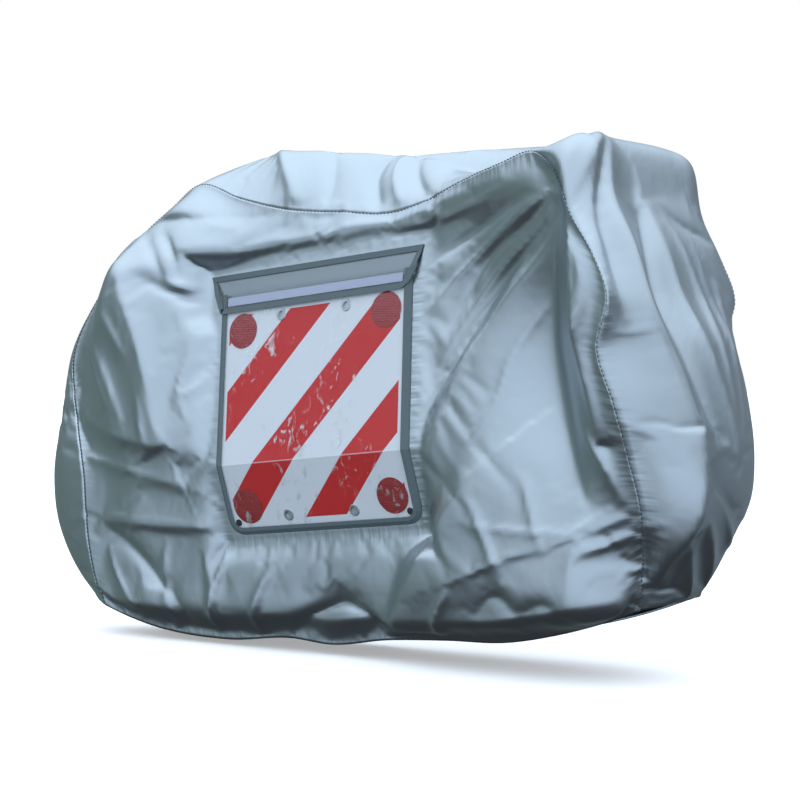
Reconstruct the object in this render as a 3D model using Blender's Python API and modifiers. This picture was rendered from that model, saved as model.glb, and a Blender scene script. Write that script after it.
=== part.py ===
"""A fitted bicycle cover of silver coated taffeta, as it hangs over a bicycle of about 1.8 m.

Two side panels are sewn to a gusset strip that runs from the rear hem over the top to the
front hem. On the near side a pocket of clear film, bound with grey tape and closed by a
flap, holds a red-and-white warning plate that has been bent back near its lower edge.

All tables are in metres. x runs from the rear wheel to the front wheel with 0 at the saddle,
y runs from the near side to the far side, and heights are measured from the floor. The part's
origin is at the top of the saddle, under the cover, where the cover hangs.
"""

import math

import bmesh
import bpy
import numpy as np
from mathutils import Matrix, Vector

SADDLE_TOP = 1.098  # height of the place under the cover's top that carries it
CLOTH = 0.0012  # thickness of the taffeta with its seam allowances
GAP = 0.0003  # between pieces that lie on each other
SIDE_CELLS = (36, 26)  # along the side, and up it
STRIP_CELLS = 12  # across the gusset strip
MIDDLE = np.array([0.1, 0.0, 0.57])  # a place well inside the cover

# The gusset strip, one row for each section, from the rear hem over the saddle and the
# handlebar to the front hem. Columns: the seams' x and height, the near and the far seam's y,
# the x, y and height of the middle of the strip, and how square the section is (1 is a tent,
# 2 is round, 8 is flat with corners).
STRIP = (
    (-0.584, 0.056, -0.090, 0.100, -0.655, 0.000, 0.065, 2.0),
    (-0.605, 0.140, -0.105, 0.120, -0.730, 0.000, 0.140, 2.2),
    (-0.619, 0.230, -0.112, 0.140, -0.775, 0.000, 0.225, 2.4),
    (-0.630, 0.370, -0.112, 0.160, -0.800, 0.005, 0.350, 2.4),
    (-0.700, 0.520, -0.060, 0.190, -0.790, 0.030, 0.510, 2.4),
    (-0.745, 0.650, -0.015, 0.220, -0.785, 0.070, 0.660, 2.2),
    (-0.670, 0.800, 0.000, 0.230, -0.690, 0.090, 0.820, 2.0),
    (-0.565, 0.915, 0.000, 0.220, -0.570, 0.090, 0.930, 2.0),
    (-0.450, 0.993, -0.005, 0.200, -0.460, 0.080, 1.010, 1.8),
    (-0.335, 1.043, -0.035, 0.190, -0.315, 0.060, 1.076, 1.7),
    (-0.200, 1.005, -0.065, 0.190, -0.190, 0.030, 1.104, 1.5),
    (-0.050, 0.973, -0.085, 0.190, -0.050, 0.000, 1.109, 1.5),
    (0.100, 0.962, -0.092, 0.190, 0.100, 0.000, 1.096, 1.5),
    (0.240, 0.957, -0.100, 0.190, 0.220, 0.000, 1.086, 1.5),
    (0.330, 0.977, -0.115, 0.190, 0.320, 0.000, 1.090, 1.6),
    (0.430, 1.008, -0.145, 0.190, 0.440, 0.000, 1.092, 1.8),
    (0.560, 1.036, -0.200, 0.220, 0.570, 0.000, 1.090, 2.5),
    (0.650, 1.052, -0.235, 0.260, 0.670, 0.000, 1.086, 4.0),
    (0.736, 0.996, -0.290, 0.290, 0.765, 0.000, 1.072, 7.0),
    (0.772, 0.923, -0.300, 0.300, 0.800, 0.000, 0.970, 6.0),
    (0.820, 0.844, -0.300, 0.300, 0.840, 0.000, 0.870, 5.0),
    (0.850, 0.768, -0.300, 0.295, 0.870, 0.000, 0.775, 4.5),
    (0.820, 0.660, -0.280, 0.285, 0.915, 0.010, 0.670, 4.0),
    (0.843, 0.564, -0.260, 0.265, 0.945, 0.020, 0.565, 4.0),
    (0.859, 0.444, -0.220, 0.230, 0.972, 0.030, 0.440, 3.5),
    (0.868, 0.354, -0.190, 0.200, 0.975, 0.030, 0.350, 3.0),
    (0.853, 0.250, -0.150, 0.170, 0.935, 0.030, 0.245, 2.6),
    (0.829, 0.142, -0.110, 0.140, 0.880, 0.020, 0.155, 2.2),
)
REAR_CORNER = 7  # row where the rear edge of a side panel turns into its top edge
FRONT_CORNER = 18  # row where its top edge turns down, just under the handlebar grip

# Where the grips push the cover up from inside. Columns: x, y, height, reach, rise.
GRIPS = (
    (0.770, -0.270, 1.052, 0.16, 0.042),
    (0.775, 0.285, 1.050, 0.14, 0.036),
)
GRIP_PULL = np.array([0.35, 0.35, 0.87])  # a grip's push forward, outward and up

# Folds of the strip. Columns: half width, height of the ridge (a trough is negative), and its
# path: metres along the near seam from the rear hem, and across from the middle line, where
# the seams are STRIP_HALF to either side.
STRIP_HALF = 0.22
STRIP_FOLDS = (
    (0.030, 0.012, ((1.45, -0.22), (1.47, 0.05))),
    (0.030, -0.014, ((1.62, -0.20), (1.60, 0.0))),
    (0.025, 0.010, ((1.72, -0.20), (1.80, 0.0))),
    (0.030, -0.014, ((1.90, -0.20), (2.10, -0.14), (2.30, -0.12))),
    (0.030, 0.022, ((2.42, -0.18), (2.65, -0.15), (2.83, -0.115), (2.92, -0.1), (3.05, -0.13), (3.2, -0.19))),
    (0.022, -0.014, ((2.50, -0.185), (2.66, -0.185), (2.82, -0.16))),
    (0.026, 0.014, ((2.46, -0.02), (2.70, 0.00), (2.98, -0.01))),
    (0.030, 0.012, ((2.50, 0.10), (2.75, 0.09), (3.00, 0.07))),
    (0.045, -0.018, ((3.00, -0.03), (3.15, -0.03), (3.30, -0.02))),
)
STRIP_SEAM_FADE = 0.15  # share of the half width over which a fold dies out at the seams
STRIP_HEM_FADE = 0.05  # length over which it dies out at the rear hem

# The elastic hem of the near side between the strip's two ends, drawn in under the bicycle.
# Columns: x, stand-off from the middle plane, height.
HEM = (
    (-0.584, 0.090, 0.056),
    (-0.460, 0.085, 0.020),
    (-0.222, 0.080, 0.001),
    (-0.040, 0.085, 0.018),
    (0.060, 0.085, 0.012),
    (0.227, 0.100, 0.036),
    (0.370, 0.100, 0.046),
    (0.519, 0.100, 0.053),
    (0.640, 0.100, 0.078),
    (0.829, 0.110, 0.142),
)

# How far the near side stands out from the middle plane, one row for each upright section.
# Columns: x, then the stand-off at each of SIDE_HEIGHTS.
SIDE_HEIGHTS = (0.02, 0.14, 0.28, 0.43, 0.62, 0.80, 0.85, 0.90, 0.96)
SIDE = (
    (-0.70, 0.06, 0.08, 0.10, 0.11, 0.11, 0.09, 0.08, 0.06, 0.02),
    (-0.55, 0.09, 0.12, 0.13, 0.13, 0.135, 0.14, 0.13, 0.09, 0.02),
    (-0.35, 0.09, 0.13, 0.14, 0.15, 0.155, 0.145, 0.14, 0.125, 0.09),
    (-0.15, 0.09, 0.14, 0.15, 0.17, 0.135, 0.107, 0.104, 0.098, 0.085),
    (0.10, 0.09, 0.14, 0.155, 0.18, 0.145, 0.112, 0.107, 0.102, 0.092),
    (0.35, 0.10, 0.165, 0.175, 0.188, 0.158, 0.130, 0.125, 0.12, 0.115),
    (0.50, 0.10, 0.190, 0.20, 0.203, 0.175, 0.155, 0.155, 0.16, 0.17),
    (0.65, 0.10, 0.198, 0.21, 0.213, 0.207, 0.222, 0.232, 0.24, 0.25),
    (0.80, 0.11, 0.18, 0.21, 0.24, 0.26, 0.29, 0.30, 0.30, 0.29),
)
# The same for the far side, which hangs plainly between its seams.
FAR_SIDE = (
    (-0.70, 0.10, 0.13, 0.16, 0.18, 0.20, 0.20, 0.19, 0.18, 0.16),
    (-0.35, 0.11, 0.15, 0.18, 0.20, 0.22, 0.23, 0.23, 0.22, 0.20),
    (0.10, 0.11, 0.15, 0.18, 0.21, 0.22, 0.22, 0.22, 0.22, 0.20),
    (0.50, 0.12, 0.17, 0.20, 0.23, 0.25, 0.26, 0.26, 0.26, 0.25),
    (0.80, 0.13, 0.18, 0.21, 0.24, 0.27, 0.29, 0.30, 0.30, 0.29),
)
# Shares of a side panel's length and height over which the stand-off takes over from its
# rear, front, hem and top edges, and over which its folds die out.
REAR_FADE, FRONT_FADE, HEM_FADE, TOP_FADE = 0.14, 0.10, 0.10, 0.08
FOLD_FADE = 0.05

# Main folds of the near side. Columns: half width, height of the ridge (a trough is
# negative), and its path in x and height.
SIDE_FOLDS = (
    (0.045, 0.015, (
        (-0.34, 0.885), (-0.18, 0.885), (0.04, 0.905), (0.18, 0.935), (0.30, 0.96), (0.47, 0.99), (0.64, 1.02),
    )),
    (0.030, -0.012, ((0.72, 0.94), (0.66, 0.88), (0.57, 0.80), (0.51, 0.73), (0.45, 0.65), (0.38, 0.53))),
    (0.050, 0.022, (
        (0.735, 0.94), (0.68, 0.85), (0.60, 0.78), (0.54, 0.71), (0.49, 0.64), (0.41, 0.50), (0.37, 0.44),
    )),
    (0.070, -0.050, (
        (0.72, 0.96), (0.70, 0.88), (0.67, 0.76), (0.66, 0.67),
        (0.675, 0.57), (0.71, 0.46), (0.745, 0.38), (0.775, 0.33),
    )),
    (0.055, 0.028, (
        (0.54, 0.44), (0.48, 0.38), (0.43, 0.32), (0.39, 0.27), (0.34, 0.20), (0.29, 0.13), (0.25, 0.03),
    )),
    (0.045, -0.016, ((0.46, 0.42), (0.40, 0.36), (0.36, 0.31), (0.31, 0.24), (0.26, 0.14), (0.22, 0.06))),
    (0.035, 0.026, ((0.87, 0.245), (0.81, 0.17), (0.73, 0.105), (0.65, 0.07))),
    (0.032, -0.020, ((-0.03, 0.03), (0.06, 0.085), (0.14, 0.11), (0.19, 0.09), (0.22, 0.04))),
    (0.050, 0.028, ((-0.47, 0.88), (-0.46, 0.78), (-0.42, 0.70), (-0.38, 0.59), (-0.36, 0.51), (-0.33, 0.44))),
    (0.050, 0.022, ((-0.70, 0.52), (-0.52, 0.475), (-0.34, 0.445), (-0.18, 0.44))),
    (0.034, 0.012, ((-0.62, 0.405), (-0.40, 0.375), (-0.27, 0.35), (-0.17, 0.32))),
    (0.034, 0.012, ((-0.56, 0.27), (-0.33, 0.262), (-0.08, 0.27))),
    (0.034, -0.018, ((-0.55, 0.24), (-0.46, 0.19), (-0.40, 0.14), (-0.35, 0.10), (-0.32, 0.05))),
)
# Folds of the far side, which hangs from the two grips and the saddle.
FAR_FOLDS = (
    (0.045, 0.028, ((0.74, 0.93), (0.60, 0.70), (0.50, 0.45))),
    (0.040, -0.028, ((0.66, 0.93), (0.52, 0.72), (0.40, 0.50))),
    (0.045, -0.030, ((0.76, 0.88), (0.74, 0.60), (0.72, 0.35))),
    (0.040, 0.022, ((-0.10, 0.93), (-0.30, 0.70), (-0.45, 0.48))),
    (0.045, -0.022, ((0.05, 0.93), (0.00, 0.70), (-0.10, 0.45))),
    (0.040, 0.022, ((0.20, 0.93), (0.28, 0.70), (0.25, 0.45))),
    (0.035, 0.020, ((-0.60, 0.42), (-0.35, 0.36), (-0.10, 0.34))),
    (0.035, -0.020, ((-0.55, 0.28), (-0.30, 0.24), (0.00, 0.22))),
    (0.040, 0.022, ((0.30, 0.10), (0.36, 0.25), (0.48, 0.40))),
)
FOLD_STEPS = 24  # straight steps along a fold's path

# The pocket's plate: a square sheet, bent back along a line across its lower part.
PLATE = 0.500
PLATE_THICK = 0.0025
BEND_UP = 0.148  # height of the bend above the plate's lower edge
BEND_MIDDLE = Vector((0.0736, -0.1788, 0.4276))
YAW = math.radians(-2.5)  # of the plate about the upright
ROLL = math.radians(5.8)  # its front edge is lifted
LEAN = math.radians(10.4)  # of the upper part, top inwards
BEND = math.radians(23.8)
FLAT_ROUND, FLAT_FADE = 0.038, 0.070  # the cloth is flat this far round the pocket, then fades
FLAT_TOP = 1.6  # and fades this much faster above it
PLATE_ROWS = (0.094, BEND_UP, 0.240, 0.370, PLATE)  # rows of its mesh above the round corners
PLATE_CELLS = 8  # across it

# The pocket, in the plate's own directions. Each lift is square to the plate's back.
BINDING = 0.018  # width of the grey tape
BINDING_IN = 0.004  # how far it laps over the plate's edge
FLAP_TOP = 0.580
FLAP_EDGE = 0.494
FLAP_OVER = 0.042  # how far the flap's top reaches past the plate on each side
FLAP_SEWN = 0.566  # above this the flap lies on the cloth
FLAP_LEFT = (-0.010, -0.044)  # its left edge, at its lower edge and at its top
FLAP_RIGHT = (0.508, 0.538)
FLAP_ROUND = 0.022  # radius of its lower right corner
FLAP_TAPE = 0.013
FLAP_TAPE_OVER = 0.003  # how far that tape reaches past the flap's edge
POCKET_TOP = 0.536  # the window's open edge, under the flap
POCKET_CLEAR = 0.003  # the flap starts down to the cloth this far above it
ROUND = 0.025  # radius of the plate's and the pocket's lower corners
ROUND_STEPS = 5
FILM = 0.0010
TAPE = 0.0010
WINDOW_BACK = 0.0050  # clear of the reflectors
WINDOW_OVER = 0.0030  # the window reaches this far past the plate
FASTENER_LOW, FASTENER = 0.508, 0.019  # lower edge and width of the hook tape
FASTENER_IN = 0.008  # from the plate's sides to its ends

# Turned pieces on the plate: their places from its lower left corner, and their sizes.
REFLECTORS = ((0.052, 0.448), (0.448, 0.452), (0.052, 0.052), (0.448, 0.052))
REFLECTOR, REFLECTOR_RIM, REFLECTOR_RISE = 0.080, 0.0007, 0.0016
STUDS = ((0.0155, 0.0155), (0.4845, 0.0155))
STUD, STUD_RIM, STUD_RISE = 0.016, 0.0008, 0.0016
EYELETS = ((0.160, 0.474), (0.340, 0.474), (0.160, 0.026), (0.340, 0.026))
EYELET, EYELET_BARREL, EYELET_HOLE = 0.027, 0.0100, 0.0085  # across, and two radii
EYELET_LIP = 0.0010
CUTTER_REACH = 0.010
TURNED_STEPS = 24


def cubic_weights(knots, at):
    """Weights of the rows for a smooth curve through them, read at the places `at`. Each
    stretch is a cubic whose end slopes are those of the parabola through three rows."""
    at = np.clip(at, knots[0], knots[-1])
    unit = np.eye(len(knots))
    slopes = np.gradient(unit, knots, axis=0, edge_order=min(2, len(knots) - 1))
    i = np.clip(np.searchsorted(knots, at, side="right") - 1, 0, len(knots) - 2)
    width = (knots[i + 1] - knots[i])[..., None]
    f = (at[..., None] - knots[i][..., None]) / width
    return (
        (2 * f**3 - 3 * f**2 + 1) * unit[i]
        + (f**3 - 2 * f**2 + f) * width * slopes[i]
        + (3 * f**2 - 2 * f**3) * unit[i + 1]
        + (f**3 - f**2) * width * slopes[i + 1]
    )


def chord_lengths(rows):
    """Lengths along the rows' first three columns, from the first row to each row."""
    steps = np.linalg.norm(np.diff(rows[:, :3], axis=0), axis=1)
    return np.concatenate([[0], np.cumsum(steps)])


def through(rows, t):
    """A smooth curve through the rows, at the shares t of its whole chord length."""
    rows = np.asarray(rows, float)
    knots = chord_lengths(rows)
    return cubic_weights(knots, np.clip(t, 0, 1) * knots[-1]) @ rows


def table_at(rows, heights, x, z):
    """A table of stand-offs read smoothly at x and height."""
    rows = np.asarray(rows, float)
    by_x = cubic_weights(rows[:, 0], x)
    by_height = cubic_weights(np.array(heights), z)
    return np.einsum("...i,ij,...j->...", by_x, rows[:, 1:], by_height)


def smooth_step(f):
    f = np.clip(f, 0, 1)
    return f * f * (3 - 2 * f)


def fold_heights(folds, a, b):
    """The sum of the folds at the places (a, b): each is a rounded ridge along a smooth path,
    highest on the path and dying out sideways and at its two ends."""
    total = np.zeros_like(a)
    for half_width, height, path in folds:
        path = np.array([(*point, 0.0) for point in path])
        line = through(path, np.linspace(0, 1, FOLD_STEPS + 1))[:, :2]
        start, step = line[:-1], np.diff(line, axis=0)
        away = np.stack([a[..., None] - start[:, 0], b[..., None] - start[:, 1]], -1)
        f = np.clip((away * step).sum(-1) / (step**2).sum(-1), 0, 1)
        distance = np.linalg.norm(away - f[..., None] * step, axis=-1)
        nearest = distance.argmin(-1)[..., None]
        along = (nearest + np.take_along_axis(f, nearest, -1))[..., 0] / FOLD_STEPS
        ends = 0.25 + 0.75 * np.sin(np.pi * np.clip(along, 0, 1)) ** 0.7
        total += height * ends * np.exp(-((distance.min(-1) / half_width) ** 1.7))
    return total


def grid_normals(points, outward):
    """Unit normals of a grid of points, turned to the side that `outward` names."""
    across, up = np.gradient(points, axis=1), np.gradient(points, axis=0)
    normals = np.cross(across, up)
    normals /= np.maximum(np.linalg.norm(normals, axis=-1, keepdims=True), 1e-12)
    turn = np.sign((normals * outward).sum(-1, keepdims=True))
    turn[turn == 0] = 1
    return normals * turn


def softened(field, rounds=2):
    """A grid of directions averaged with its neighbours, its rim kept."""
    field = field.copy()
    for _ in range(rounds):
        beside = field[1:-1, :-2] + field[1:-1, 2:]
        above = field[:-2, 1:-1] + field[2:, 1:-1]
        field[1:-1, 1:-1] = (beside + above + 2 * field[1:-1, 1:-1]) / 6
    return field / np.maximum(np.linalg.norm(field, axis=-1, keepdims=True), 1e-12)


def strip_sections(cells):
    """The strip's table read at even steps from hem to corner to corner to hem."""
    rows = np.array(STRIP)
    rows = np.column_stack([rows[:, 0], rows[:, 2], rows[:, 1], rows[:, 3:]])
    along, up = cells
    shares = chord_lengths(rows) / chord_lengths(rows)[-1]
    rear = np.linspace(0, shares[REAR_CORNER], up + 1)
    top = np.linspace(shares[REAR_CORNER], shares[FRONT_CORNER], along + 1)
    front = np.linspace(shares[FRONT_CORNER], 1, up + 1)
    return through(rows, np.concatenate([rear[:-1], top[:-1], front]))


def strip_surface(sections, across):
    """The gusset: each section arches from the near seam to the far seam through the middle of
    its row, as one minus a power of the share across, with a tent over each grip."""
    q = np.linspace(-1, 1, across + 1)[:, None, None]
    near = sections[:, [0, 1, 2]]
    far = sections[:, [0, 3, 2]]
    middle = sections[:, [4, 5, 6]]
    square = sections[:, 7][None, :, None]
    chord = near * (1 - q) / 2 + far * (1 + q) / 2
    points = chord + (middle - (near + far) / 2) * (1 - np.abs(q) ** square)
    normals = softened(grid_normals(points, points - MIDDLE))
    along, side = np.broadcast_arrays(chord_lengths(near)[None, :], q[..., 0])
    folds = fold_heights(STRIP_FOLDS, along, side * STRIP_HALF)
    rim = smooth_step((1 - np.abs(side)) / STRIP_SEAM_FADE) * smooth_step(along / STRIP_HEM_FADE)
    points = points + normals * (folds * rim)[..., None]
    for x, y, z, reach, rise in GRIPS:
        distance = np.linalg.norm(points - (x, y, z), axis=-1)
        pull = np.clip(1 - distance / reach, 0, 1) ** 2
        pull[0], pull[-1] = 0, 0
        points = points + (pull * rise)[..., None] * GRIP_PULL * (1, math.copysign(1, y), 1)
    return points


def plate_frame():
    """The directions along the plate's bend, up its upper part and down its lower part."""
    along = Vector((math.cos(YAW) * math.cos(ROLL), math.sin(YAW) * math.cos(ROLL), math.sin(ROLL)))
    outward = Vector((math.sin(YAW), -math.cos(YAW), 0))
    upright = outward.cross(along).normalized()
    upper = Matrix.Rotation(-LEAN, 3, along) @ upright
    lower = -(Matrix.Rotation(BEND, 3, along) @ upper)
    return along, upper, lower


def on_plate(u, v, lift):
    """Places on the plate as laid flat, u along it and v up from its lower left corner, lifted
    square to the sheet. At the bend itself the lift runs along the mitre of the two parts."""
    along, upper, lower = (np.array(d) for d in plate_frame())
    u, v, lift = np.broadcast_arrays(*(np.asarray(a, float)[..., None] for a in (u, v, lift)))
    rise = v - BEND_UP
    above, below = np.cross(along, upper), np.cross(along, -lower)
    mitre = (above + below) / (1 + above @ below)
    normal = np.where(rise > 1e-6, above, np.where(rise < -1e-6, below, mitre))
    run = np.where(rise > 0, rise, 0) * upper + np.where(rise < 0, -rise, 0) * lower
    return np.array(BEND_MIDDLE) + along * (u - PLATE / 2) + run + normal * lift


def plate_depth(x, z):
    """The y of the plate's bent plane at x and height, and how far inside the pocket's
    footprint that place lies, in metres (negative outside)."""
    along, upper, lower = plate_frame()
    x_off, z_off = x - BEND_MIDDLE.x, z - BEND_MIDDLE.z
    depths = []
    for direction in (upper, -lower):
        normal = direction.cross(along).normalized()
        depths.append(BEND_MIDDLE.y - (normal.x * x_off + normal.z * z_off) / normal.y)
    rise = z_off - x_off * along.z / along.x
    u = PLATE / 2 + (x_off - rise * upper.x) / along.x
    v = BEND_UP + rise
    sides = np.minimum(u + FLAP_OVER, PLATE + FLAP_OVER - u)
    inside = np.minimum.reduce([sides, v + BINDING, (FLAP_TOP - v) * FLAT_TOP])
    return np.maximum(*depths), inside


def side_edges(cells, sections, near):
    """The hem, top, rear and front edges of a side panel, each from low x or height up."""
    along, up = cells
    seam = sections[:, [0, 1 if near else 3, 2]]
    rear, top, front = seam[: up + 1], seam[up : up + along + 1], seam[up + along :][::-1]
    hem = np.array(HEM)
    if near:
        hem[:, 1] *= -1
    else:
        hem[:, 1] = np.interp(hem[:, 0], [rear[0, 0], front[0, 0]], [rear[0, 1], front[0, 1]])
    hem = through(hem, np.linspace(0, 1, along + 1))
    hem[0], hem[-1] = rear[0], front[0]
    return hem, top, rear, front


def spanned(hem, top, rear, front, u, v):
    """The surface between four edges: the blend of hem and top, plus the blend of rear and
    front, less the blend of the four corners."""
    upright = (1 - v) * hem + v * top
    level = (1 - u) * rear[:, None] + u * front[:, None]
    low = (1 - u) * hem[0] + u * hem[-1]
    high = (1 - u) * top[0] + u * top[-1]
    return upright + level - (1 - v) * low - v * high


def side_surface(cells, sections, near):
    """A side panel: the surface spanned between its edges, brought out to the stand-off of its
    table away from them, folded along its normals, and laid flat behind the pocket."""
    along, up = cells
    sign = -1 if near else 1
    u = np.linspace(0, 1, along + 1)[None, :]
    v = np.linspace(0, 1, up + 1)[:, None]
    points = spanned(*side_edges(cells, sections, near), u[..., None], v[..., None])
    x, z = points[..., 0], points[..., 2]
    free = smooth_step(u / REAR_FADE) * smooth_step((1 - u) / FRONT_FADE)
    free = free * smooth_step(v / HEM_FADE) * smooth_step((1 - v) / TOP_FADE)
    target = table_at(SIDE if near else FAR_SIDE, SIDE_HEIGHTS, x, z)
    points[..., 1] += free * (sign * target - points[..., 1])
    normals = softened(grid_normals(points, np.array([0, sign, 0])))
    rim = smooth_step(np.minimum(u, 1 - u) / FOLD_FADE) * smooth_step(np.minimum(v, 1 - v) / FOLD_FADE)
    if not near:
        return points + normals * (fold_heights(FAR_FOLDS, x, z) * rim)[..., None]
    flat, inside = plate_depth(x, z)
    mask = smooth_step(1 + (inside + FLAT_ROUND) / FLAT_FADE)
    folds = fold_heights(SIDE_FOLDS, x, z) * rim * (1 - mask)
    points = points + normals * folds[..., None]
    points[..., 1] += mask * rim * (flat - points[..., 1])
    return points


def mesh_object(name, points, faces, material, collection):
    mesh = bpy.data.meshes.new(name)
    mesh.from_pydata(points.tolist(), [], faces)
    mesh.update()
    mesh.materials.append(material)
    thing = bpy.data.objects.new(name, mesh)
    collection.objects.link(thing)
    return thing


def face_outwards(thing):
    bm = bmesh.new()
    bm.from_mesh(thing.data)
    bmesh.ops.recalc_face_normals(bm, faces=bm.faces)
    bm.to_mesh(thing.data)
    bm.free()


def sheet(name, face, inward, thickness, material, collection):
    """A closed sheet from the grid of its outer face and the directions to its inner face. Both
    faces split each cell along the diagonal that lies further in, so that they bend alike."""
    rows, columns = face.shape[:2]
    back = face + inward * thickness
    points = np.concatenate([face.reshape(-1, 3), back.reshape(-1, 3)])
    number = np.arange(rows * columns).reshape(rows, columns)
    corners = [number[:-1, :-1], number[:-1, 1:], number[1:, 1:], number[1:, :-1]]
    a, b, c, d = (corner.reshape(-1) for corner in corners)
    further_in = points[a] + points[c] - points[b] - points[d]
    first = (further_in * (back - face)[:-1, :-1].reshape(-1, 3)).sum(-1) > 0
    split = np.stack([a, b, np.where(first, c, d), np.where(first, a, b), c, d], -1).reshape(-1, 3)
    rim = np.concatenate([number[0], number[1:, -1], number[-1, -2::-1], number[-2:0:-1, 0]])
    rim_behind = rim + rows * columns
    walls = np.stack([rim, rim_behind, np.roll(rim_behind, -1), np.roll(rim, -1)], -1)
    faces = split.tolist() + (split + rows * columns)[:, ::-1].tolist() + walls.tolist()
    thing = mesh_object(name, points, faces, material, collection)
    face_outwards(thing)
    return thing


def drawn_back(edge, next_row):
    """An edge moved a little towards the row behind it, to part it from the piece it is sewn to."""
    step = next_row - edge
    return edge + step / np.linalg.norm(step, axis=-1, keepdims=True) * GAP * 0.7


def cover(material, collection):
    """The two side panels and the gusset strip. Along the seams they share the directions to
    their inner faces, so that their cut edges lie side by side."""
    along, up = SIDE_CELLS
    sections = strip_sections(SIDE_CELLS)
    strip = strip_surface(sections, STRIP_CELLS)
    strip_in = -grid_normals(strip, strip - MIDDLE)
    for name, row, outward in (("near_side_panel", 0, -1), ("far_side_panel", -1, 1)):
        face = side_surface(SIDE_CELLS, sections, outward < 0)
        inward = -grid_normals(face, np.array([0.0, outward, 0.0]))
        seam = np.concatenate([inward[:-1, 0], inward[-1, :-1], inward[::-1, -1]]) + strip_in[row]
        seam /= np.linalg.norm(seam, axis=-1, keepdims=True)
        strip_in[row] = seam
        inward[:, 0] = seam[: up + 1]
        inward[-1] = seam[up : up + along + 1]
        inward[:, -1] = seam[up + along :][::-1]
        cut = face.copy()
        cut[:, 0] = drawn_back(face[:, 0], face[:, 1])
        cut[:, -1] = drawn_back(face[:, -1], face[:, -2])
        cut[-1] = drawn_back(face[-1], face[-2])
        sheet(name, cut, inward, CLOTH, material, collection)
    cut = strip.copy()
    cut[0] = drawn_back(strip[0], strip[1])
    cut[-1] = drawn_back(strip[-1], strip[-2])
    sheet("gusset_strip", cut, strip_in, CLOTH, material, collection)


def flat_sheet(name, rows, left, right, back, thickness, material, collection):
    """A sheet over the plate: at each height it reaches from left to right, with its back at
    the given lift."""
    t = np.linspace(0, 1, PLATE_CELLS + 1)[None]
    u = left[:, None] * (1 - t) + right[:, None] * t
    v = np.broadcast_to(rows[:, None], u.shape)
    back = np.broadcast_to(np.asarray(back, float), rows.shape)[:, None] + 0 * u
    face = on_plate(u, v, back + thickness)
    return sheet(name, face, (on_plate(u, v, back) - face) / thickness, thickness, material, collection)


def swept(name, path, outward, section, closed, material, collection):
    """A bar over the plate: its section, in steps outward from the path and in lift, is carried
    along the path of (u, v) points. A lift may be a function of v."""
    rings = []
    for off, lift in section:
        places = path + outward * off
        rise = lift(places[:, 1]) if callable(lift) else np.full(len(path), lift)
        rings.append(on_plate(places[:, 0], places[:, 1], rise))
    points = np.stack(rings, 1)
    count, sides = points.shape[:2]
    number = np.arange(count * sides).reshape(count, sides)
    ahead = np.roll(number, -1, axis=0)
    faces = np.stack([number, np.roll(number, -1, axis=1), np.roll(ahead, -1, axis=1), ahead], -1)
    faces = (faces if closed else faces[:-1]).reshape(-1, 4).tolist()
    if not closed:
        faces += [number[0, ::-1].tolist(), number[-1].tolist()]
    thing = mesh_object(name, points.reshape(-1, 3), faces, material, collection)
    face_outwards(thing)
    return thing


def round_corner():
    """The plate's rounded lower left corner: steps in from its sides and up from its lower
    edge, from the bottom of the round to its top."""
    turn = np.linspace(0, math.pi / 2, ROUND_STEPS + 1)
    return ROUND * (1 - np.sin(turn)), ROUND * (1 - np.cos(turn)), turn


def plate_rows():
    """Heights up the plate for a grid that has a row on the bend and follows the round lower
    corners, with the inset of the sides at each height."""
    across, up, _ = round_corner()
    return np.concatenate([up, PLATE_ROWS]), np.concatenate([across, np.zeros(len(PLATE_ROWS))])


def pocket_path():
    """The pocket's bound edge, down the left side, along the bottom and up the right side, with
    the direction away from the plate at each point."""
    across, up, turn = round_corner()
    straight = np.array([POCKET_TOP, *reversed(PLATE_ROWS[:-1])])
    left = np.column_stack([np.zeros(len(straight)), straight])
    half = np.concatenate([left, np.column_stack([across, up])[::-1]])
    round_away = np.column_stack([-np.sin(turn), -np.cos(turn)])[::-1]
    half_away = np.concatenate([np.tile([-1.0, 0.0], (len(left), 1)), round_away])
    mirrored = half * (-1, 1) + (PLATE, 0)
    path = np.concatenate([half, mirrored[::-1]])
    return path, np.concatenate([half_away, (half_away * (-1, 1))[::-1]])


def turned(name, place, back, profile, material, collection):
    """A turned piece on the plate: a profile of (radius, lift) points, from its back to its
    front, spun round a line square to the plate."""
    centre = Vector(on_plate(*place, back))
    axis = (Vector(on_plate(*place, back + 1)) - centre).normalized()
    mesh = bpy.data.meshes.new(name)
    bm = bmesh.new()
    corners = [bm.verts.new((radius, 0, lift)) for radius, lift in reversed(profile)]
    for a, b in zip(corners, corners[1:]):
        bm.edges.new((a, b))
    if profile[0][0] > 0:
        bm.edges.new((corners[-1], corners[0]))
    bm.to_mesh(mesh)
    bm.free()
    mesh.materials.append(material)
    thing = bpy.data.objects.new(name, mesh)
    collection.objects.link(thing)
    facing = axis.to_track_quat("Z", "Y").to_matrix().to_4x4()
    thing.matrix_world = Matrix.Translation(centre) @ facing
    spin = thing.modifiers.new("Spin", "SCREW")
    spin.axis = "Z"
    spin.steps = spin.render_steps = TURNED_STEPS
    spin.use_merge_vertices = True
    spin.merge_threshold = 0.00002
    spin.use_smooth_shade = True
    return thing


def dome(across, rim, rise):
    """The profile of a flat-backed button with a straight rim and a low crown."""
    return [(0, 0), (across / 2, 0), (across / 2, rim), (across / 3, 0.9 * rise), (0, rise)]


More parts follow.
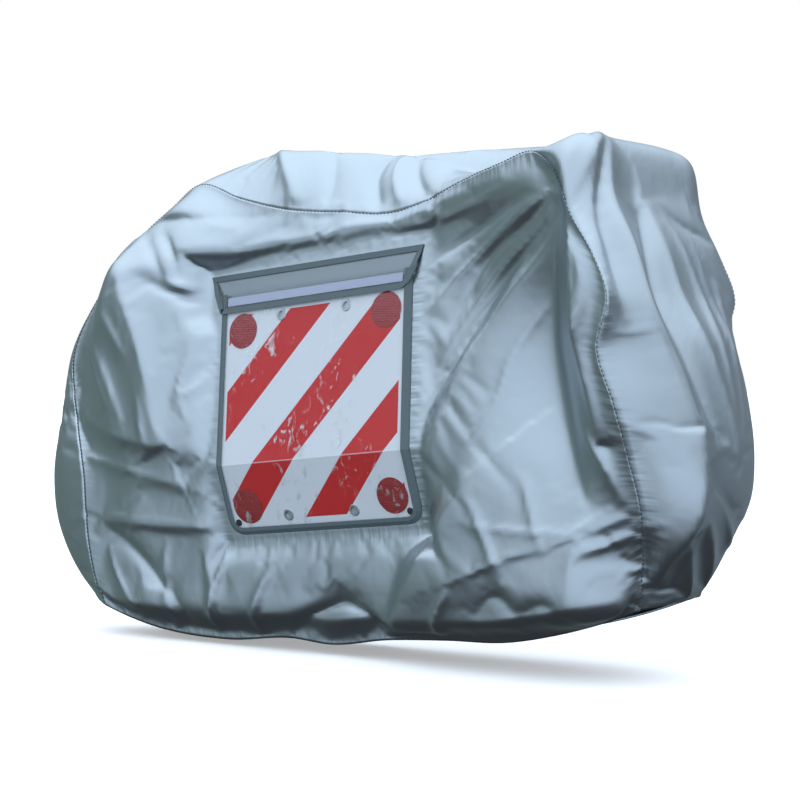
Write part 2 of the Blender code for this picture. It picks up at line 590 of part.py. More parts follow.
def warning_plate(finishes, cutters, collection):
    """The square sheet with four riveted reflectors, four eyelets and two corner studs."""
    rows, inset = plate_rows()
    front = GAP + PLATE_THICK
    plate = flat_sheet(
        "warning_plate", rows, inset, PLATE - inset, GAP, PLATE_THICK, finishes["white"], collection
    )
    crown = dome(REFLECTOR, REFLECTOR_RIM, REFLECTOR_RISE)
    for number, place in enumerate(REFLECTORS, 1):
        turned(f"reflector_{number}", place, front + GAP, crown, finishes["red"], collection)
    crown = dome(STUD, STUD_RIM, STUD_RISE)
    for number, place in enumerate(STUDS, 1):
        turned(f"corner_stud_{number}", place, front + GAP, crown, finishes["black"], collection)
    radius = EYELET_BARREL + GAP
    bit = [(0, -CUTTER_REACH), (radius, -CUTTER_REACH), (radius, CUTTER_REACH), (0, CUTTER_REACH)]
    lip_back = PLATE_THICK + GAP
    ring = [
        (EYELET_HOLE, 0),
        (EYELET_BARREL, 0),
        (EYELET_BARREL, lip_back),
        (EYELET / 2, lip_back),
        (EYELET / 2 - EYELET_LIP, lip_back + EYELET_LIP),
        (EYELET_HOLE, lip_back + EYELET_LIP),
    ]
    for number, place in enumerate(EYELETS, 1):
        hole = turned(f"eyelet_cutter_{number}", place, 0, bit, finishes["grey"], cutters)
        hole.hide_render = True
        hole.display_type = "WIRE"
        cut = plate.modifiers.new(f"Eyelet {number}", "BOOLEAN")
        cut.operation = "DIFFERENCE"
        cut.object = hole
        turned(f"eyelet_{number}", place, GAP, ring, finishes["steel"], collection)


def pocket_window(finishes, collection):
    """The clear window, and the grey tape folded over its edge and down to the cloth."""
    rows, inset = plate_rows()
    rows = np.append(rows, POCKET_TOP)
    inset = np.append(inset, 0.0) - WINDOW_OVER
    flat_sheet(
        "pocket_window", rows, inset, PLATE - inset, WINDOW_BACK, FILM, finishes["clear"], collection
    )
    top = WINDOW_BACK + FILM + GAP
    section = (
        (-BINDING_IN, top),
        (WINDOW_OVER + GAP, top),
        (WINDOW_OVER + 2 * GAP, GAP),
        (BINDING - BINDING_IN, GAP),
        (BINDING - BINDING_IN, GAP + TAPE),
        (WINDOW_OVER + TAPE, top + TAPE),
        (-BINDING_IN, top + TAPE),
    )
    swept("pocket_binding", *pocket_path(), section, False, finishes["grey"], collection)
    rows = np.array([FASTENER_LOW, FASTENER_LOW + FASTENER])
    ends = np.full(2, FASTENER_IN)
    flat_sheet(
        "fastening_strip", rows, ends, PLATE - ends, top, TAPE, finishes["lilac"], collection
    )


def pocket_flap(finishes, collection):
    """The clear flap over the pocket's open edge, sewn to the cloth above it, with tape all
    round. It lies on the pocket's tape and comes down to the cloth above the window."""
    high = WINDOW_BACK + FILM + TAPE + 2 * GAP
    over = POCKET_TOP + POCKET_CLEAR

    def flap_lift(v):
        return GAP + (high - GAP) * np.clip((FLAP_SEWN - v) / (FLAP_SEWN - over), 0, 1)

    def tape_back(v):
        return flap_lift(v) + FILM + 2 * GAP

    def tape_front(v):
        return tape_back(v) + TAPE

    corner = FLAP_EDGE + FLAP_ROUND * np.array([0, 0.2, 0.5, 1])
    v = np.concatenate([corner, [over, FLAP_SEWN, FLAP_TOP]])
    share = (v - FLAP_EDGE) / (FLAP_TOP - FLAP_EDGE)
    left = FLAP_LEFT[0] * (1 - share) + FLAP_LEFT[1] * share
    right = FLAP_RIGHT[0] * (1 - share) + FLAP_RIGHT[1] * share
    right -= FLAP_ROUND * np.clip(1 - (v - FLAP_EDGE) / FLAP_ROUND, 0, 1) ** 2
    flat_sheet("pocket_flap", v, left, right, flap_lift(v), FILM, finishes["clear"], collection)
    outline = np.concatenate([np.column_stack([left, v])[::-1], np.column_stack([right, v])])
    tangent = np.roll(outline, -1, axis=0) - np.roll(outline, 1, axis=0)
    away = np.column_stack([tangent[:, 1], -tangent[:, 0]])
    away /= np.linalg.norm(tangent, axis=1)[:, None]
    rising = outline[:, 1] > POCKET_TOP
    away[rising] = np.column_stack([np.sign(away[rising, 0]), outline[rising, 1] == FLAP_TOP])
    inner = FLAP_TAPE_OVER - FLAP_TAPE
    bar = (
        (FLAP_TAPE_OVER, tape_back),
        (FLAP_TAPE_OVER, tape_front),
        (inner, tape_front),
        (inner, tape_back),
    )
    swept("flap_binding", outline, away, bar, True, finishes["grey"], collection)


def finish(name, colour, roughness, metallic=0.0, alpha=1.0):
    """A plain material of one colour, given as sRGB hex."""
    material = bpy.data.materials.new(name)
    material.use_nodes = True
    shader = material.node_tree.nodes["Principled BSDF"]
    levels = [int(colour[i : i + 2], 16) / 255 for i in (0, 2, 4)]
    linear = [c / 12.92 if c < 0.04045 else ((c + 0.055) / 1.055) ** 2.4 for c in levels]
    shader.inputs["Base Color"].default_value = (*linear, 1)
    shader.inputs["Roughness"].default_value = roughness
    shader.inputs["Metallic"].default_value = metallic
    shader.inputs["Alpha"].default_value = alpha
    material.diffuse_color = (*linear, alpha)
    return material


def main():
    for thing in list(bpy.data.objects):
        bpy.data.objects.remove(thing)
    collection = bpy.data.collections.new("bicycle_cover")
    cutters = bpy.data.collections.new("cutters")
    for made in (collection, cutters):
        bpy.context.scene.collection.children.link(made)
    finishes = {
        "silver": finish("silver_taffeta", "aab6c8", 0.4, metallic=0.8),
        "white": finish("white_plate", "dfe6ec", 0.35),
        "red": finish("red_acrylic", "b01414", 0.15),
        "grey": finish("grey_tape", "6b7478", 0.8),
        "steel": finish("plated_steel", "b8bcc0", 0.25, metallic=1.0),
        "black": finish("black_plastic", "1c1e20", 0.45),
        "clear": finish("clear_film", "dfe8ee", 0.1, alpha=0.25),
        "lilac": finish("hook_tape", "cfd0ee", 0.8),
    }
    cover(finishes["silver"], collection)
    warning_plate(finishes, cutters, collection)
    pocket_window(finishes, collection)
    pocket_flap(finishes, collection)
    origin = bpy.data.objects.new("saddle_top", None)
    collection.objects.link(origin)
    for thing in list(collection.objects) + list(cutters.objects):
        if thing is not origin:
            thing.parent = origin
    origin.location.z = -SADDLE_TOP


if __name__ == "__main__":
    main()
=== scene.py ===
"""Looks for a fitted bicycle cover of silver coated taffeta with a warning plate in a clear pocket.

Lengths are in metres. x runs from the rear wheel to the front wheel, y from the pocket's side to
the far side. The tables give heights from the floor, and the finished pieces are lowered so that
the origin is at the top of the saddle under the cover.
"""

import math

import bpy
import numpy as np
from mathutils import Matrix, Vector


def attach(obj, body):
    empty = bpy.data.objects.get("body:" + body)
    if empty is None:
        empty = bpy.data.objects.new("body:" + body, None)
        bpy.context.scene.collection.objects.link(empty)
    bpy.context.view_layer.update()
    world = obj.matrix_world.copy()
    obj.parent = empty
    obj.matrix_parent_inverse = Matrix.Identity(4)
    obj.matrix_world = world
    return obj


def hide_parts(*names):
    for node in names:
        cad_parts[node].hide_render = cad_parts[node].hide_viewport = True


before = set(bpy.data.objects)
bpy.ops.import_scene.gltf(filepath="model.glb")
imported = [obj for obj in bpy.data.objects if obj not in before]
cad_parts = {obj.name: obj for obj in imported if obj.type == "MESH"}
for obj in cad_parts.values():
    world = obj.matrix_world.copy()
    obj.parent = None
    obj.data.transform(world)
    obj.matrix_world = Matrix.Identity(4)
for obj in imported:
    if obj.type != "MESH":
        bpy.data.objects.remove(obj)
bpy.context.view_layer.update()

# --- The pocket's plane ------------------------------------------------------------------------
# The warning plate is a 500 mm square, bent back along a line across its lower part. The cloth
# behind it and all of the pocket's pieces follow its two planes.

SADDLE_TOP = 1.098
PLATE = 0.500
BEND_UP = 0.148
BEND_MIDDLE = np.array([0.0736, -0.1788, 0.4276])
YAW, ROLL = math.radians(-2.5), math.radians(5.8)
LEAN, BEND = math.radians(10.4), math.radians(23.8)


def plate_frame():
    """The directions along the plate's bend, up its upper part and down its lower part."""
    along = Vector((math.cos(YAW) * math.cos(ROLL), math.sin(YAW) * math.cos(ROLL), math.sin(ROLL)))
    outward = Vector((math.sin(YAW), -math.cos(YAW), 0))
    upright = outward.cross(along).normalized()
    upper = Matrix.Rotation(-LEAN, 3, along) @ upright
    lower = -(Matrix.Rotation(BEND, 3, along) @ upper)
    return np.array(along), np.array(upper), np.array(lower)


ALONG, UPPER, LOWER = plate_frame()


def plate_depth(x, z):
    """The y of the plate's bent plane at x and height, and that place's u and v on the plate."""
    x_off, z_off = x - BEND_MIDDLE[0], z - BEND_MIDDLE[2]
    depths = []
    for direction in (UPPER, -LOWER):
        normal = np.cross(direction, ALONG)
        depths.append(BEND_MIDDLE[1] - (normal[0] * x_off + normal[2] * z_off) / normal[1])
    rise = z_off - x_off * ALONG[2] / ALONG[0]
    u = PLATE / 2 + (x_off - rise * UPPER[0]) / ALONG[0]
    return np.maximum(*depths), u, BEND_UP + rise


# --- The cover's cloth -------------------------------------------------------------------------
# Two side panels sewn to a gusset strip that runs over the top, all of silver coated taffeta. It
# hangs from the saddle and the two grips, and elastic draws its hem in. The main folds and
# creases are given one by one, and a short cloth simulation lets the slack between them buckle.

# The gusset strip. Columns: the seams' x and height, the near and the far seam's y, the x, y and
# height of the strip's middle, and how square the section is.
STRIP = (
    (-0.584, 0.056, -0.090, 0.100, -0.655, 0.000, 0.065, 2.0),
    (-0.605, 0.140, -0.105, 0.120, -0.730, 0.000, 0.140, 2.2),
    (-0.619, 0.230, -0.112, 0.140, -0.775, 0.000, 0.225, 2.4),
    (-0.630, 0.370, -0.112, 0.160, -0.800, 0.005, 0.350, 2.4),
    (-0.700, 0.520, -0.060, 0.190, -0.790, 0.030, 0.510, 2.4),
    (-0.745, 0.650, -0.015, 0.220, -0.785, 0.070, 0.660, 2.2),
    (-0.670, 0.800, 0.000, 0.230, -0.690, 0.090, 0.820, 2.0),
    (-0.565, 0.915, 0.000, 0.220, -0.570, 0.090, 0.930, 2.0),
    (-0.450, 0.993, -0.005, 0.200, -0.460, 0.080, 1.010, 1.8),
    (-0.335, 1.043, -0.035, 0.190, -0.315, 0.060, 1.076, 1.7),
    (-0.200, 1.005, -0.065, 0.190, -0.190, 0.030, 1.104, 1.5),
    (-0.050, 0.973, -0.085, 0.190, -0.050, 0.000, 1.109, 1.5),
    (0.100, 0.962, -0.092, 0.190, 0.100, 0.000, 1.096, 1.5),
    (0.240, 0.957, -0.100, 0.190, 0.220, 0.000, 1.086, 1.5),
    (0.330, 0.977, -0.115, 0.190, 0.320, 0.000, 1.090, 1.6),
    (0.430, 1.008, -0.145, 0.190, 0.440, 0.000, 1.092, 1.8),
    (0.560, 1.036, -0.200, 0.220, 0.570, 0.000, 1.090, 2.5),
    (0.650, 1.052, -0.235, 0.260, 0.670, 0.000, 1.086, 4.0),
    (0.736, 0.996, -0.290, 0.290, 0.765, 0.000, 1.072, 7.0),
    (0.772, 0.923, -0.300, 0.300, 0.800, 0.000, 0.970, 6.0),
    (0.820, 0.844, -0.300, 0.300, 0.840, 0.000, 0.870, 5.0),
    (0.850, 0.768, -0.300, 0.295, 0.870, 0.000, 0.775, 4.5),
    (0.820, 0.660, -0.280, 0.285, 0.915, 0.010, 0.670, 4.0),
    (0.843, 0.564, -0.260, 0.265, 0.945, 0.020, 0.565, 4.0),
    (0.859, 0.444, -0.220, 0.230, 0.972, 0.030, 0.440, 3.5),
    (0.868, 0.354, -0.190, 0.200, 0.975, 0.030, 0.350, 3.0),
    (0.853, 0.250, -0.150, 0.170, 0.935, 0.030, 0.245, 2.6),
    (0.829, 0.142, -0.110, 0.140, 0.880, 0.020, 0.155, 2.2),
)
REAR_CORNER, FRONT_CORNER = 7, 18
INSIDE = np.array([0.1, 0.0, 0.57])
# Where the grips push the cover up. Columns: x, y, height, reach, rise.
GRIPS = ((0.770, -0.270, 1.052, 0.16, 0.042), (0.775, 0.285, 1.050, 0.14, 0.036))
GRIP_PULL = np.array([0.35, 0.35, 0.87])
# The strip's folds. Columns: width on the left of the path, width on its right, height (a trough
# is negative), how round the crest is (1 is a sharp crease), and the path in metres along the
# near seam from the rear hem and across from the middle, with the seams 0.22 to either side.
STRIP_HALF = 0.22
STRIP_RIM, STRIP_HEM_RIM = 0.15, 0.05  # share across and length over which the folds die out
STRIP_FOLDS = (
    (0.030, 0.030, 0.014, 1.4, ((1.42, 0.02), (1.50, -0.10), (1.56, -0.21))),
    (0.030, 0.020, -0.010, 1.3, ((1.60, 0.00), (1.63, -0.10), (1.64, -0.20))),
    (0.020, 0.040, -0.014, 1.3, ((1.78, -0.03), (1.76, -0.12), (1.79, -0.21))),
    (0.015, 0.020, 0.010, 1.2, ((1.82, -0.03), (1.82, -0.12), (1.85, -0.21))),
    (0.014, 0.020, -0.012, 1.2, ((1.86, -0.03), (1.87, -0.12), (1.92, -0.21))),
    (0.085, 0.050, -0.046, 1.6, ((1.94, -0.08), (2.05, -0.13), (2.18, -0.155), (2.32, -0.16))),
    (0.012, 0.012, 0.008, 1.2, ((1.97, -0.20), (2.10, -0.195), (2.30, -0.19))),
    (0.014, 0.014, 0.010, 1.2, ((2.34, -0.10), (2.40, -0.15), (2.45, -0.21))),
    (0.014, 0.016, 0.012, 1.2, ((2.36, -0.09), (2.46, -0.18), (2.58, -0.205))),
    (0.020, 0.018, -0.014, 1.4, ((2.40, -0.13), (2.49, -0.175), (2.58, -0.185), (2.70, -0.185))),
    (0.040, 0.026, 0.026, 1.4, (
        (2.38, -0.09), (2.48, -0.15), (2.60, -0.145), (2.72, -0.14), (2.84, -0.125), (2.94, -0.125),
    )),
    (0.022, 0.030, -0.018, 1.5, ((2.50, -0.06), (2.62, -0.09), (2.76, -0.085), (2.92, -0.07))),
    (0.050, 0.022, 0.014, 1.3, ((2.48, -0.04), (2.58, -0.03), (2.70, -0.02), (2.86, 0.00), (2.98, 0.02))),
    (0.018, 0.014, 0.007, 1.2, ((2.53, 0.02), (2.64, 0.05), (2.76, 0.05), (2.90, 0.03))),
    (0.014, 0.014, -0.006, 1.2, ((2.50, 0.03), (2.53, 0.10), (2.54, 0.16))),
    (0.020, 0.020, 0.004, 1.2, ((2.56, 0.08), (2.68, 0.09), (2.84, 0.12))),
    (0.016, 0.016, 0.004, 1.1, ((2.62, 0.13), (2.78, 0.10), (2.92, 0.07))),
    (0.026, 0.060, 0.034, 1.4, ((2.92, -0.12), (3.02, -0.135), (3.10, -0.15), (3.18, -0.18), (3.26, -0.21))),
    (0.030, 0.030, -0.020, 1.4, ((2.98, -0.09), (3.06, -0.05), (3.12, 0.02))),
    (0.018, 0.018, 0.012, 1.3, ((3.05, -0.10), (3.12, -0.03), (3.18, 0.04))),
    (0.016, 0.018, 0.012, 1.3, ((3.10, -0.12), (3.19, -0.06), (3.28, 0.02))),
    (0.018, 0.016, 0.012, 1.3, ((3.14, -0.15), (3.22, -0.12), (3.30, -0.06))),
    (0.040, 0.040, -0.014, 1.5, ((3.12, 0.10), (3.22, 0.08), (3.30, 0.06))),
)
# The elastic hem between the strip's ends. Columns: x, stand-off from the middle, height.
HEM = (
    (-0.584, 0.090, 0.056),
    (-0.460, 0.085, 0.020),
    (-0.222, 0.080, 0.001),
    (-0.040, 0.085, 0.018),
    (0.060, 0.085, 0.012),
    (0.227, 0.100, 0.036),
    (0.370, 0.100, 0.046),
    (0.519, 0.100, 0.053),
    (0.640, 0.100, 0.078),
    (0.829, 0.110, 0.142),
)
# How far each side stands out from the middle. Columns: x, then the stand-off at SIDE_HEIGHTS.
SIDE_HEIGHTS = (0.02, 0.075, 0.14, 0.28, 0.43, 0.62, 0.80, 0.85, 0.90, 0.96)
SIDE = (
    (-0.70, 0.06, 0.078, 0.08, 0.10, 0.11, 0.11, 0.09, 0.08, 0.06, 0.02),
    (-0.55, 0.09, 0.117, 0.12, 0.13, 0.13, 0.135, 0.14, 0.13, 0.09, 0.02),
    (-0.35, 0.09, 0.126, 0.13, 0.14, 0.15, 0.155, 0.145, 0.14, 0.125, 0.09),
    (-0.15, 0.09, 0.130, 0.14, 0.15, 0.17, 0.135, 0.107, 0.104, 0.098, 0.085),
    (0.10, 0.09, 0.130, 0.14, 0.155, 0.18, 0.145, 0.112, 0.107, 0.102, 0.092),
    (0.35, 0.10, 0.145, 0.165, 0.175, 0.188, 0.158, 0.130, 0.125, 0.12, 0.115),
    (0.50, 0.10, 0.160, 0.190, 0.20, 0.203, 0.175, 0.155, 0.155, 0.16, 0.17),
    (0.65, 0.10, 0.168, 0.198, 0.21, 0.213, 0.207, 0.222, 0.232, 0.24, 0.25),
    (0.80, 0.11, 0.164, 0.18, 0.21, 0.24, 0.26, 0.29, 0.30, 0.30, 0.29),
)
FAR_SIDE = (
    (-0.70, 0.10, 0.124, 0.13, 0.16, 0.18, 0.20, 0.20, 0.19, 0.18, 0.16),
    (-0.35, 0.11, 0.142, 0.15, 0.18, 0.20, 0.22, 0.23, 0.23, 0.22, 0.20),
    (0.10, 0.11, 0.142, 0.15, 0.18, 0.21, 0.22, 0.22, 0.22, 0.22, 0.20),
    (0.50, 0.12, 0.160, 0.17, 0.20, 0.23, 0.25, 0.26, 0.26, 0.26, 0.25),
    (0.80, 0.13, 0.170, 0.18, 0.21, 0.24, 0.27, 0.29, 0.30, 0.30, 0.29),
)
# Folds of the near side, with their paths in x and height. The columns are the strip's.
SIDE_FOLDS = (
    # Over the flap: the low swag from the saddle to the grip, its hollow, and a second ridge.
    (0.050, 0.060, 0.007, 1.6, (
        (-0.48, 0.84), (-0.36, 0.87), (-0.20, 0.885), (0.04, 0.905), (0.18, 0.935), (0.30, 0.96),
        (0.47, 0.99), (0.64, 1.02),
    )),
    (0.030, 0.030, -0.003, 1.5, ((-0.30, 0.85), (-0.10, 0.855), (0.10, 0.87), (0.30, 0.915), (0.50, 0.965))),
    (0.016, 0.014, 0.007, 1.2, ((0.22, 0.90), (0.35, 0.93), (0.46, 0.955), (0.60, 0.995))),
    # The fan that the grip draws out.
    (0.016, 0.020, -0.009, 1.4, ((0.70, 0.98), (0.58, 0.95), (0.44, 0.89), (0.30, 0.82))),
    (0.016, 0.012, 0.009, 1.2, ((0.71, 0.975), (0.60, 0.92), (0.49, 0.86), (0.40, 0.79), (0.35, 0.74))),
    (0.012, 0.016, -0.008, 1.4, ((0.71, 0.97), (0.64, 0.92), (0.51, 0.85), (0.44, 0.76), (0.40, 0.70))),
    (0.014, 0.012, 0.009, 1.2, ((0.72, 0.97), (0.64, 0.89), (0.54, 0.82), (0.48, 0.76), (0.41, 0.66))),
    (0.018, 0.014, 0.011, 1.3, (
        (0.72, 0.96), (0.65, 0.88), (0.56, 0.79), (0.48, 0.71), (0.43, 0.64), (0.36, 0.54),
    )),
    (0.024, 0.024, -0.018, 1.6, (
        (0.72, 0.95), (0.65, 0.88), (0.56, 0.80), (0.50, 0.73), (0.44, 0.65), (0.35, 0.50),
    )),
    (0.150, 0.030, 0.030, 1.5, (
        (0.735, 0.94), (0.67, 0.85), (0.59, 0.78), (0.53, 0.71), (0.48, 0.64), (0.44, 0.57), (0.40, 0.50),
        (0.36, 0.44),
    )),
    (0.012, 0.014, 0.007, 1.1, ((0.50, 0.70), (0.44, 0.60), (0.38, 0.53))),
    (0.012, 0.012, 0.006, 1.1, ((0.66, 0.75), (0.58, 0.64), (0.56, 0.57), (0.49, 0.47))),
    # The deep trough beside the front seam, and the pouch and pucker at the seam.
    (0.055, 0.080, -0.052, 1.7, (
        (0.72, 0.96), (0.70, 0.88), (0.67, 0.76), (0.66, 0.67), (0.675, 0.57), (0.71, 0.46), (0.745, 0.38),
        (0.775, 0.33),
    )),
    (0.016, 0.026, 0.016, 1.3, ((0.765, 0.95), (0.775, 0.80), (0.785, 0.65), (0.80, 0.50))),
    (0.020, 0.026, 0.014, 1.4, ((0.79, 0.88), (0.80, 0.79), (0.775, 0.68))),
    (0.018, 0.014, 0.010, 1.2, ((0.76, 0.50), (0.80, 0.44), (0.83, 0.36))),
    (0.014, 0.014, -0.008, 1.2, ((0.79, 0.48), (0.82, 0.47), (0.85, 0.48))),
    (0.016, 0.016, 0.006, 1.4, ((0.76, 0.30), (0.80, 0.32), (0.84, 0.34))),
    (0.016, 0.016, 0.006, 1.4, ((0.74, 0.26), (0.79, 0.28), (0.84, 0.30))),
    # The fold from the pocket's lower corner to the hem, and the creases in front of it.
    (0.100, 0.040, 0.028, 1.3, (
        (0.54, 0.44), (0.48, 0.38), (0.43, 0.32), (0.39, 0.27), (0.34, 0.20), (0.29, 0.13), (0.25, 0.03),
    )),
    (0.040, 0.050, -0.016, 1.5, (
        (0.46, 0.42), (0.40, 0.36), (0.36, 0.31), (0.31, 0.24), (0.26, 0.14), (0.22, 0.06),
    )),
    (0.016, 0.040, 0.010, 1.1, ((0.67, 0.27), (0.63, 0.26), (0.50, 0.21), (0.40, 0.17))),
    (0.016, 0.010, 0.005, 1.1, ((0.69, 0.30), (0.60, 0.30), (0.48, 0.31))),
    (0.012, 0.014, 0.006, 1.1, ((0.50, 0.36), (0.53, 0.29), (0.56, 0.22))),
    (0.014, 0.012, 0.006, 1.1, ((0.62, 0.40), (0.64, 0.33), (0.66, 0.27))),
    (0.018, 0.060, 0.026, 1.3, ((0.87, 0.245), (0.81, 0.17), (0.73, 0.105), (0.65, 0.07))),
    # The hem's gathers.
    (0.020, 0.030, -0.010, 1.3, ((0.49, 0.11), (0.55, 0.16), (0.60, 0.11))),
    (0.020, 0.030, -0.008, 1.3, ((0.60, 0.11), (0.66, 0.15), (0.71, 0.12))),
    (0.024, 0.034, -0.020, 1.3, ((-0.03, 0.03), (0.06, 0.085), (0.14, 0.11), (0.19, 0.09), (0.22, 0.04))),
    (0.012, 0.012, 0.010, 1.2, ((0.37, 0.05), (0.40, 0.12), (0.44, 0.17))),
    (0.014, 0.014, 0.008, 1.2, ((-0.12, 0.03), (-0.10, 0.11), (-0.06, 0.17))),
    (0.012, 0.014, 0.008, 1.2, ((-0.24, 0.03), (-0.23, 0.10), (-0.25, 0.22))),
    (0.012, 0.012, 0.008, 1.2, ((-0.24, 0.04), (-0.22, 0.12), (-0.18, 0.20))),
    (0.014, 0.012, 0.007, 1.2, ((-0.36, 0.06), (-0.37, 0.13), (-0.36, 0.21))),
    # Over the rear wheel: the light and dark edge, its slanting ridges, and the level folds.
    (0.040, 0.110, 0.030, 1.3, (
        (-0.50, 0.87), (-0.46, 0.78), (-0.42, 0.70), (-0.38, 0.59), (-0.36, 0.51), (-0.33, 0.44),
    )),
    (0.014, 0.022, 0.008, 1.1, ((-0.53, 0.75), (-0.45, 0.65))),
    (0.016, 0.030, 0.012, 1.1, ((-0.62, 0.72), (-0.57, 0.63), (-0.51, 0.53))),
    (0.014, 0.024, 0.008, 1.1, ((-0.58, 0.69), (-0.51, 0.58), (-0.46, 0.49))),
    (0.012, 0.012, 0.006, 1.1, ((-0.41, 0.56), (-0.385, 0.44))),
    (0.012, 0.012, 0.005, 1.1, ((-0.28, 0.64), (-0.30, 0.56), (-0.27, 0.50))),
    (0.012, 0.012, 0.005, 1.1, ((-0.22, 0.66), (-0.25, 0.58), (-0.30, 0.56))),
    (0.018, 0.016, -0.012, 1.2, ((-0.44, 0.83), (-0.36, 0.80), (-0.29, 0.77), (-0.20, 0.75))),
    (0.012, 0.014, 0.010, 1.1, ((-0.36, 0.815), (-0.29, 0.80), (-0.22, 0.775))),
    (0.014, 0.014, -0.010, 1.2, ((-0.40, 0.93), (-0.35, 0.89), (-0.32, 0.82))),
    (0.014, 0.014, -0.008, 1.2, ((-0.47, 0.93), (-0.40, 0.88), (-0.36, 0.82))),
    (0.090, 0.040, 0.022, 1.4, ((-0.70, 0.52), (-0.52, 0.475), (-0.34, 0.445), (-0.18, 0.44))),
    (0.030, 0.026, 0.010, 1.3, ((-0.62, 0.405), (-0.40, 0.375), (-0.27, 0.35), (-0.17, 0.32))),
    (0.050, 0.016, 0.011, 1.2, ((-0.56, 0.27), (-0.33, 0.262), (-0.08, 0.27))),
    # Under them, the slanting folds to the hem's rear end.
    (0.020, 0.022, 0.014, 1.3, ((-0.64, 0.22), (-0.62, 0.15), (-0.57, 0.08))),
    (0.014, 0.014, 0.010, 1.2, ((-0.55, 0.20), (-0.51, 0.12), (-0.46, 0.06))),
    (0.022, 0.022, -0.016, 1.4, ((-0.55, 0.24), (-0.46, 0.19), (-0.40, 0.14), (-0.35, 0.10), (-0.32, 0.05))),
)
# Folds of the far side, which hangs plainly between its seams.
FAR_FOLDS = (
    (0.045, 0.045, 0.028, 1.7, ((0.74, 0.93), (0.60, 0.70), (0.50, 0.45))),
    (0.040, 0.040, -0.028, 1.7, ((0.66, 0.93), (0.52, 0.72), (0.40, 0.50))),
    (0.045, 0.045, -0.030, 1.7, ((0.76, 0.88), (0.74, 0.60), (0.72, 0.35))),
    (0.040, 0.040, 0.022, 1.7, ((-0.10, 0.93), (-0.30, 0.70), (-0.45, 0.48))),
    (0.045, 0.045, -0.022, 1.7, ((0.05, 0.93), (0.00, 0.70), (-0.10, 0.45))),
    (0.040, 0.040, 0.022, 1.7, ((0.20, 0.93), (0.28, 0.70), (0.25, 0.45))),
    (0.035, 0.035, 0.020, 1.7, ((-0.60, 0.42), (-0.35, 0.36), (-0.10, 0.34))),
    (0.035, 0.035, -0.020, 1.7, ((-0.55, 0.28), (-0.30, 0.24), (0.00, 0.22))),
    (0.040, 0.040, 0.022, 1.7, ((0.30, 0.10), (0.36, 0.25), (0.48, 0.40))),
)
FOLD_STEPS = 24  # straight pieces of a fold's path
FOLD_REACH = 3  # widths from its path at which a fold is nothing
FOLD_END, FOLD_TAPER = 0.25, 0.7  # share of its height left at a fold's ends, and how it grows
# Shares of a side over which its stand-off takes over from its edges, and its folds die out.
REAR_FADE, FRONT_FADE, HEM_FADE, TOP_FADE, FOLD_FADE = 0.14, 0.10, 0.06, 0.08, 0.04
# Round the pocket: how far its flat zone goes past the tapes, and over which lengths the cloth
# leaves its plane and the folds start.
FLAT_ROUND, FLAT_FADE, FOLDS_NEAR = 0.004, 0.080, 0.040
# How far the binding and the flap stand past the plate's edges, where on the plate the flap
# begins, over which length the zone widens there, and where the flap ends.
BINDING, FLAP_OVER, FLAP_FROM, FLAP_GROWTH, FLAP_TOP = 0.018, 0.042, 0.440, 0.060, 0.580
COARSE, COARSE_ACROSS = (144, 104), 48  # cells of the simulated cloth
FINE, FINE_ACROSS = (240, 172), 64  # cells of the finished cloth
CLOTH = 0.0012
SLACK = 0.0035  # share by which the cloth is longer than the shape it hangs in
LOOSE = 0.16  # how strongly the given shape holds the free cloth
FIRM = 0.3  # what is added to that near the pocket
HELD = 0.02  # freedom of the folds up to which the cloth is held fully
HOLD_STEPS = 50  # steps into which that strength is rounded
SETTLE_FRAMES = 15


def cubic_weights(knots, at):
    """Weights of the rows for a smooth curve through them, read at the places `at`. Each
    stretch is a cubic whose end slopes are those of the parabola through three rows."""
    at = np.clip(at, knots[0], knots[-1])
    unit = np.eye(len(knots))
    slopes = np.gradient(unit, knots, axis=0, edge_order=min(2, len(knots) - 1))
    i = np.clip(np.searchsorted(knots, at, side="right") - 1, 0, len(knots) - 2)
    width = (knots[i + 1] - knots[i])[..., None]
    f = (at[..., None] - knots[i][..., None]) / width
    return (
        (2 * f**3 - 3 * f**2 + 1) * unit[i]
        + (f**3 - 2 * f**2 + f) * width * slopes[i]
        + (3 * f**2 - 2 * f**3) * unit[i + 1]
        + (f**3 - f**2) * width * slopes[i + 1]
    )


def chord_lengths(rows):
    """Lengths along the rows' first three columns, from the first row to each row."""
    steps = np.linalg.norm(np.diff(rows[:, :3], axis=0), axis=1)
    return np.concatenate([[0], np.cumsum(steps)])


def through(rows, t):
    """A smooth curve through the rows, at the shares t of its whole chord length."""
    rows = np.asarray(rows, float)
    knots = chord_lengths(rows)
    return cubic_weights(knots, np.clip(t, 0, 1) * knots[-1]) @ rows


def table_at(rows, heights, x, z):
    """A table of stand-offs read smoothly at x and height."""
    rows = np.asarray(rows, float)
    by_x = cubic_weights(rows[:, 0], x)
    by_height = cubic_weights(np.array(heights), z)
    return np.einsum("...i,ij,...j->...", by_x, rows[:, 1:], by_height)


def smooth_step(f):
    """0 up to 0, 1 from 1, and 3 f^2 - 2 f^3 between."""
    f = np.clip(f, 0, 1)
    return f * f * (3 - 2 * f)


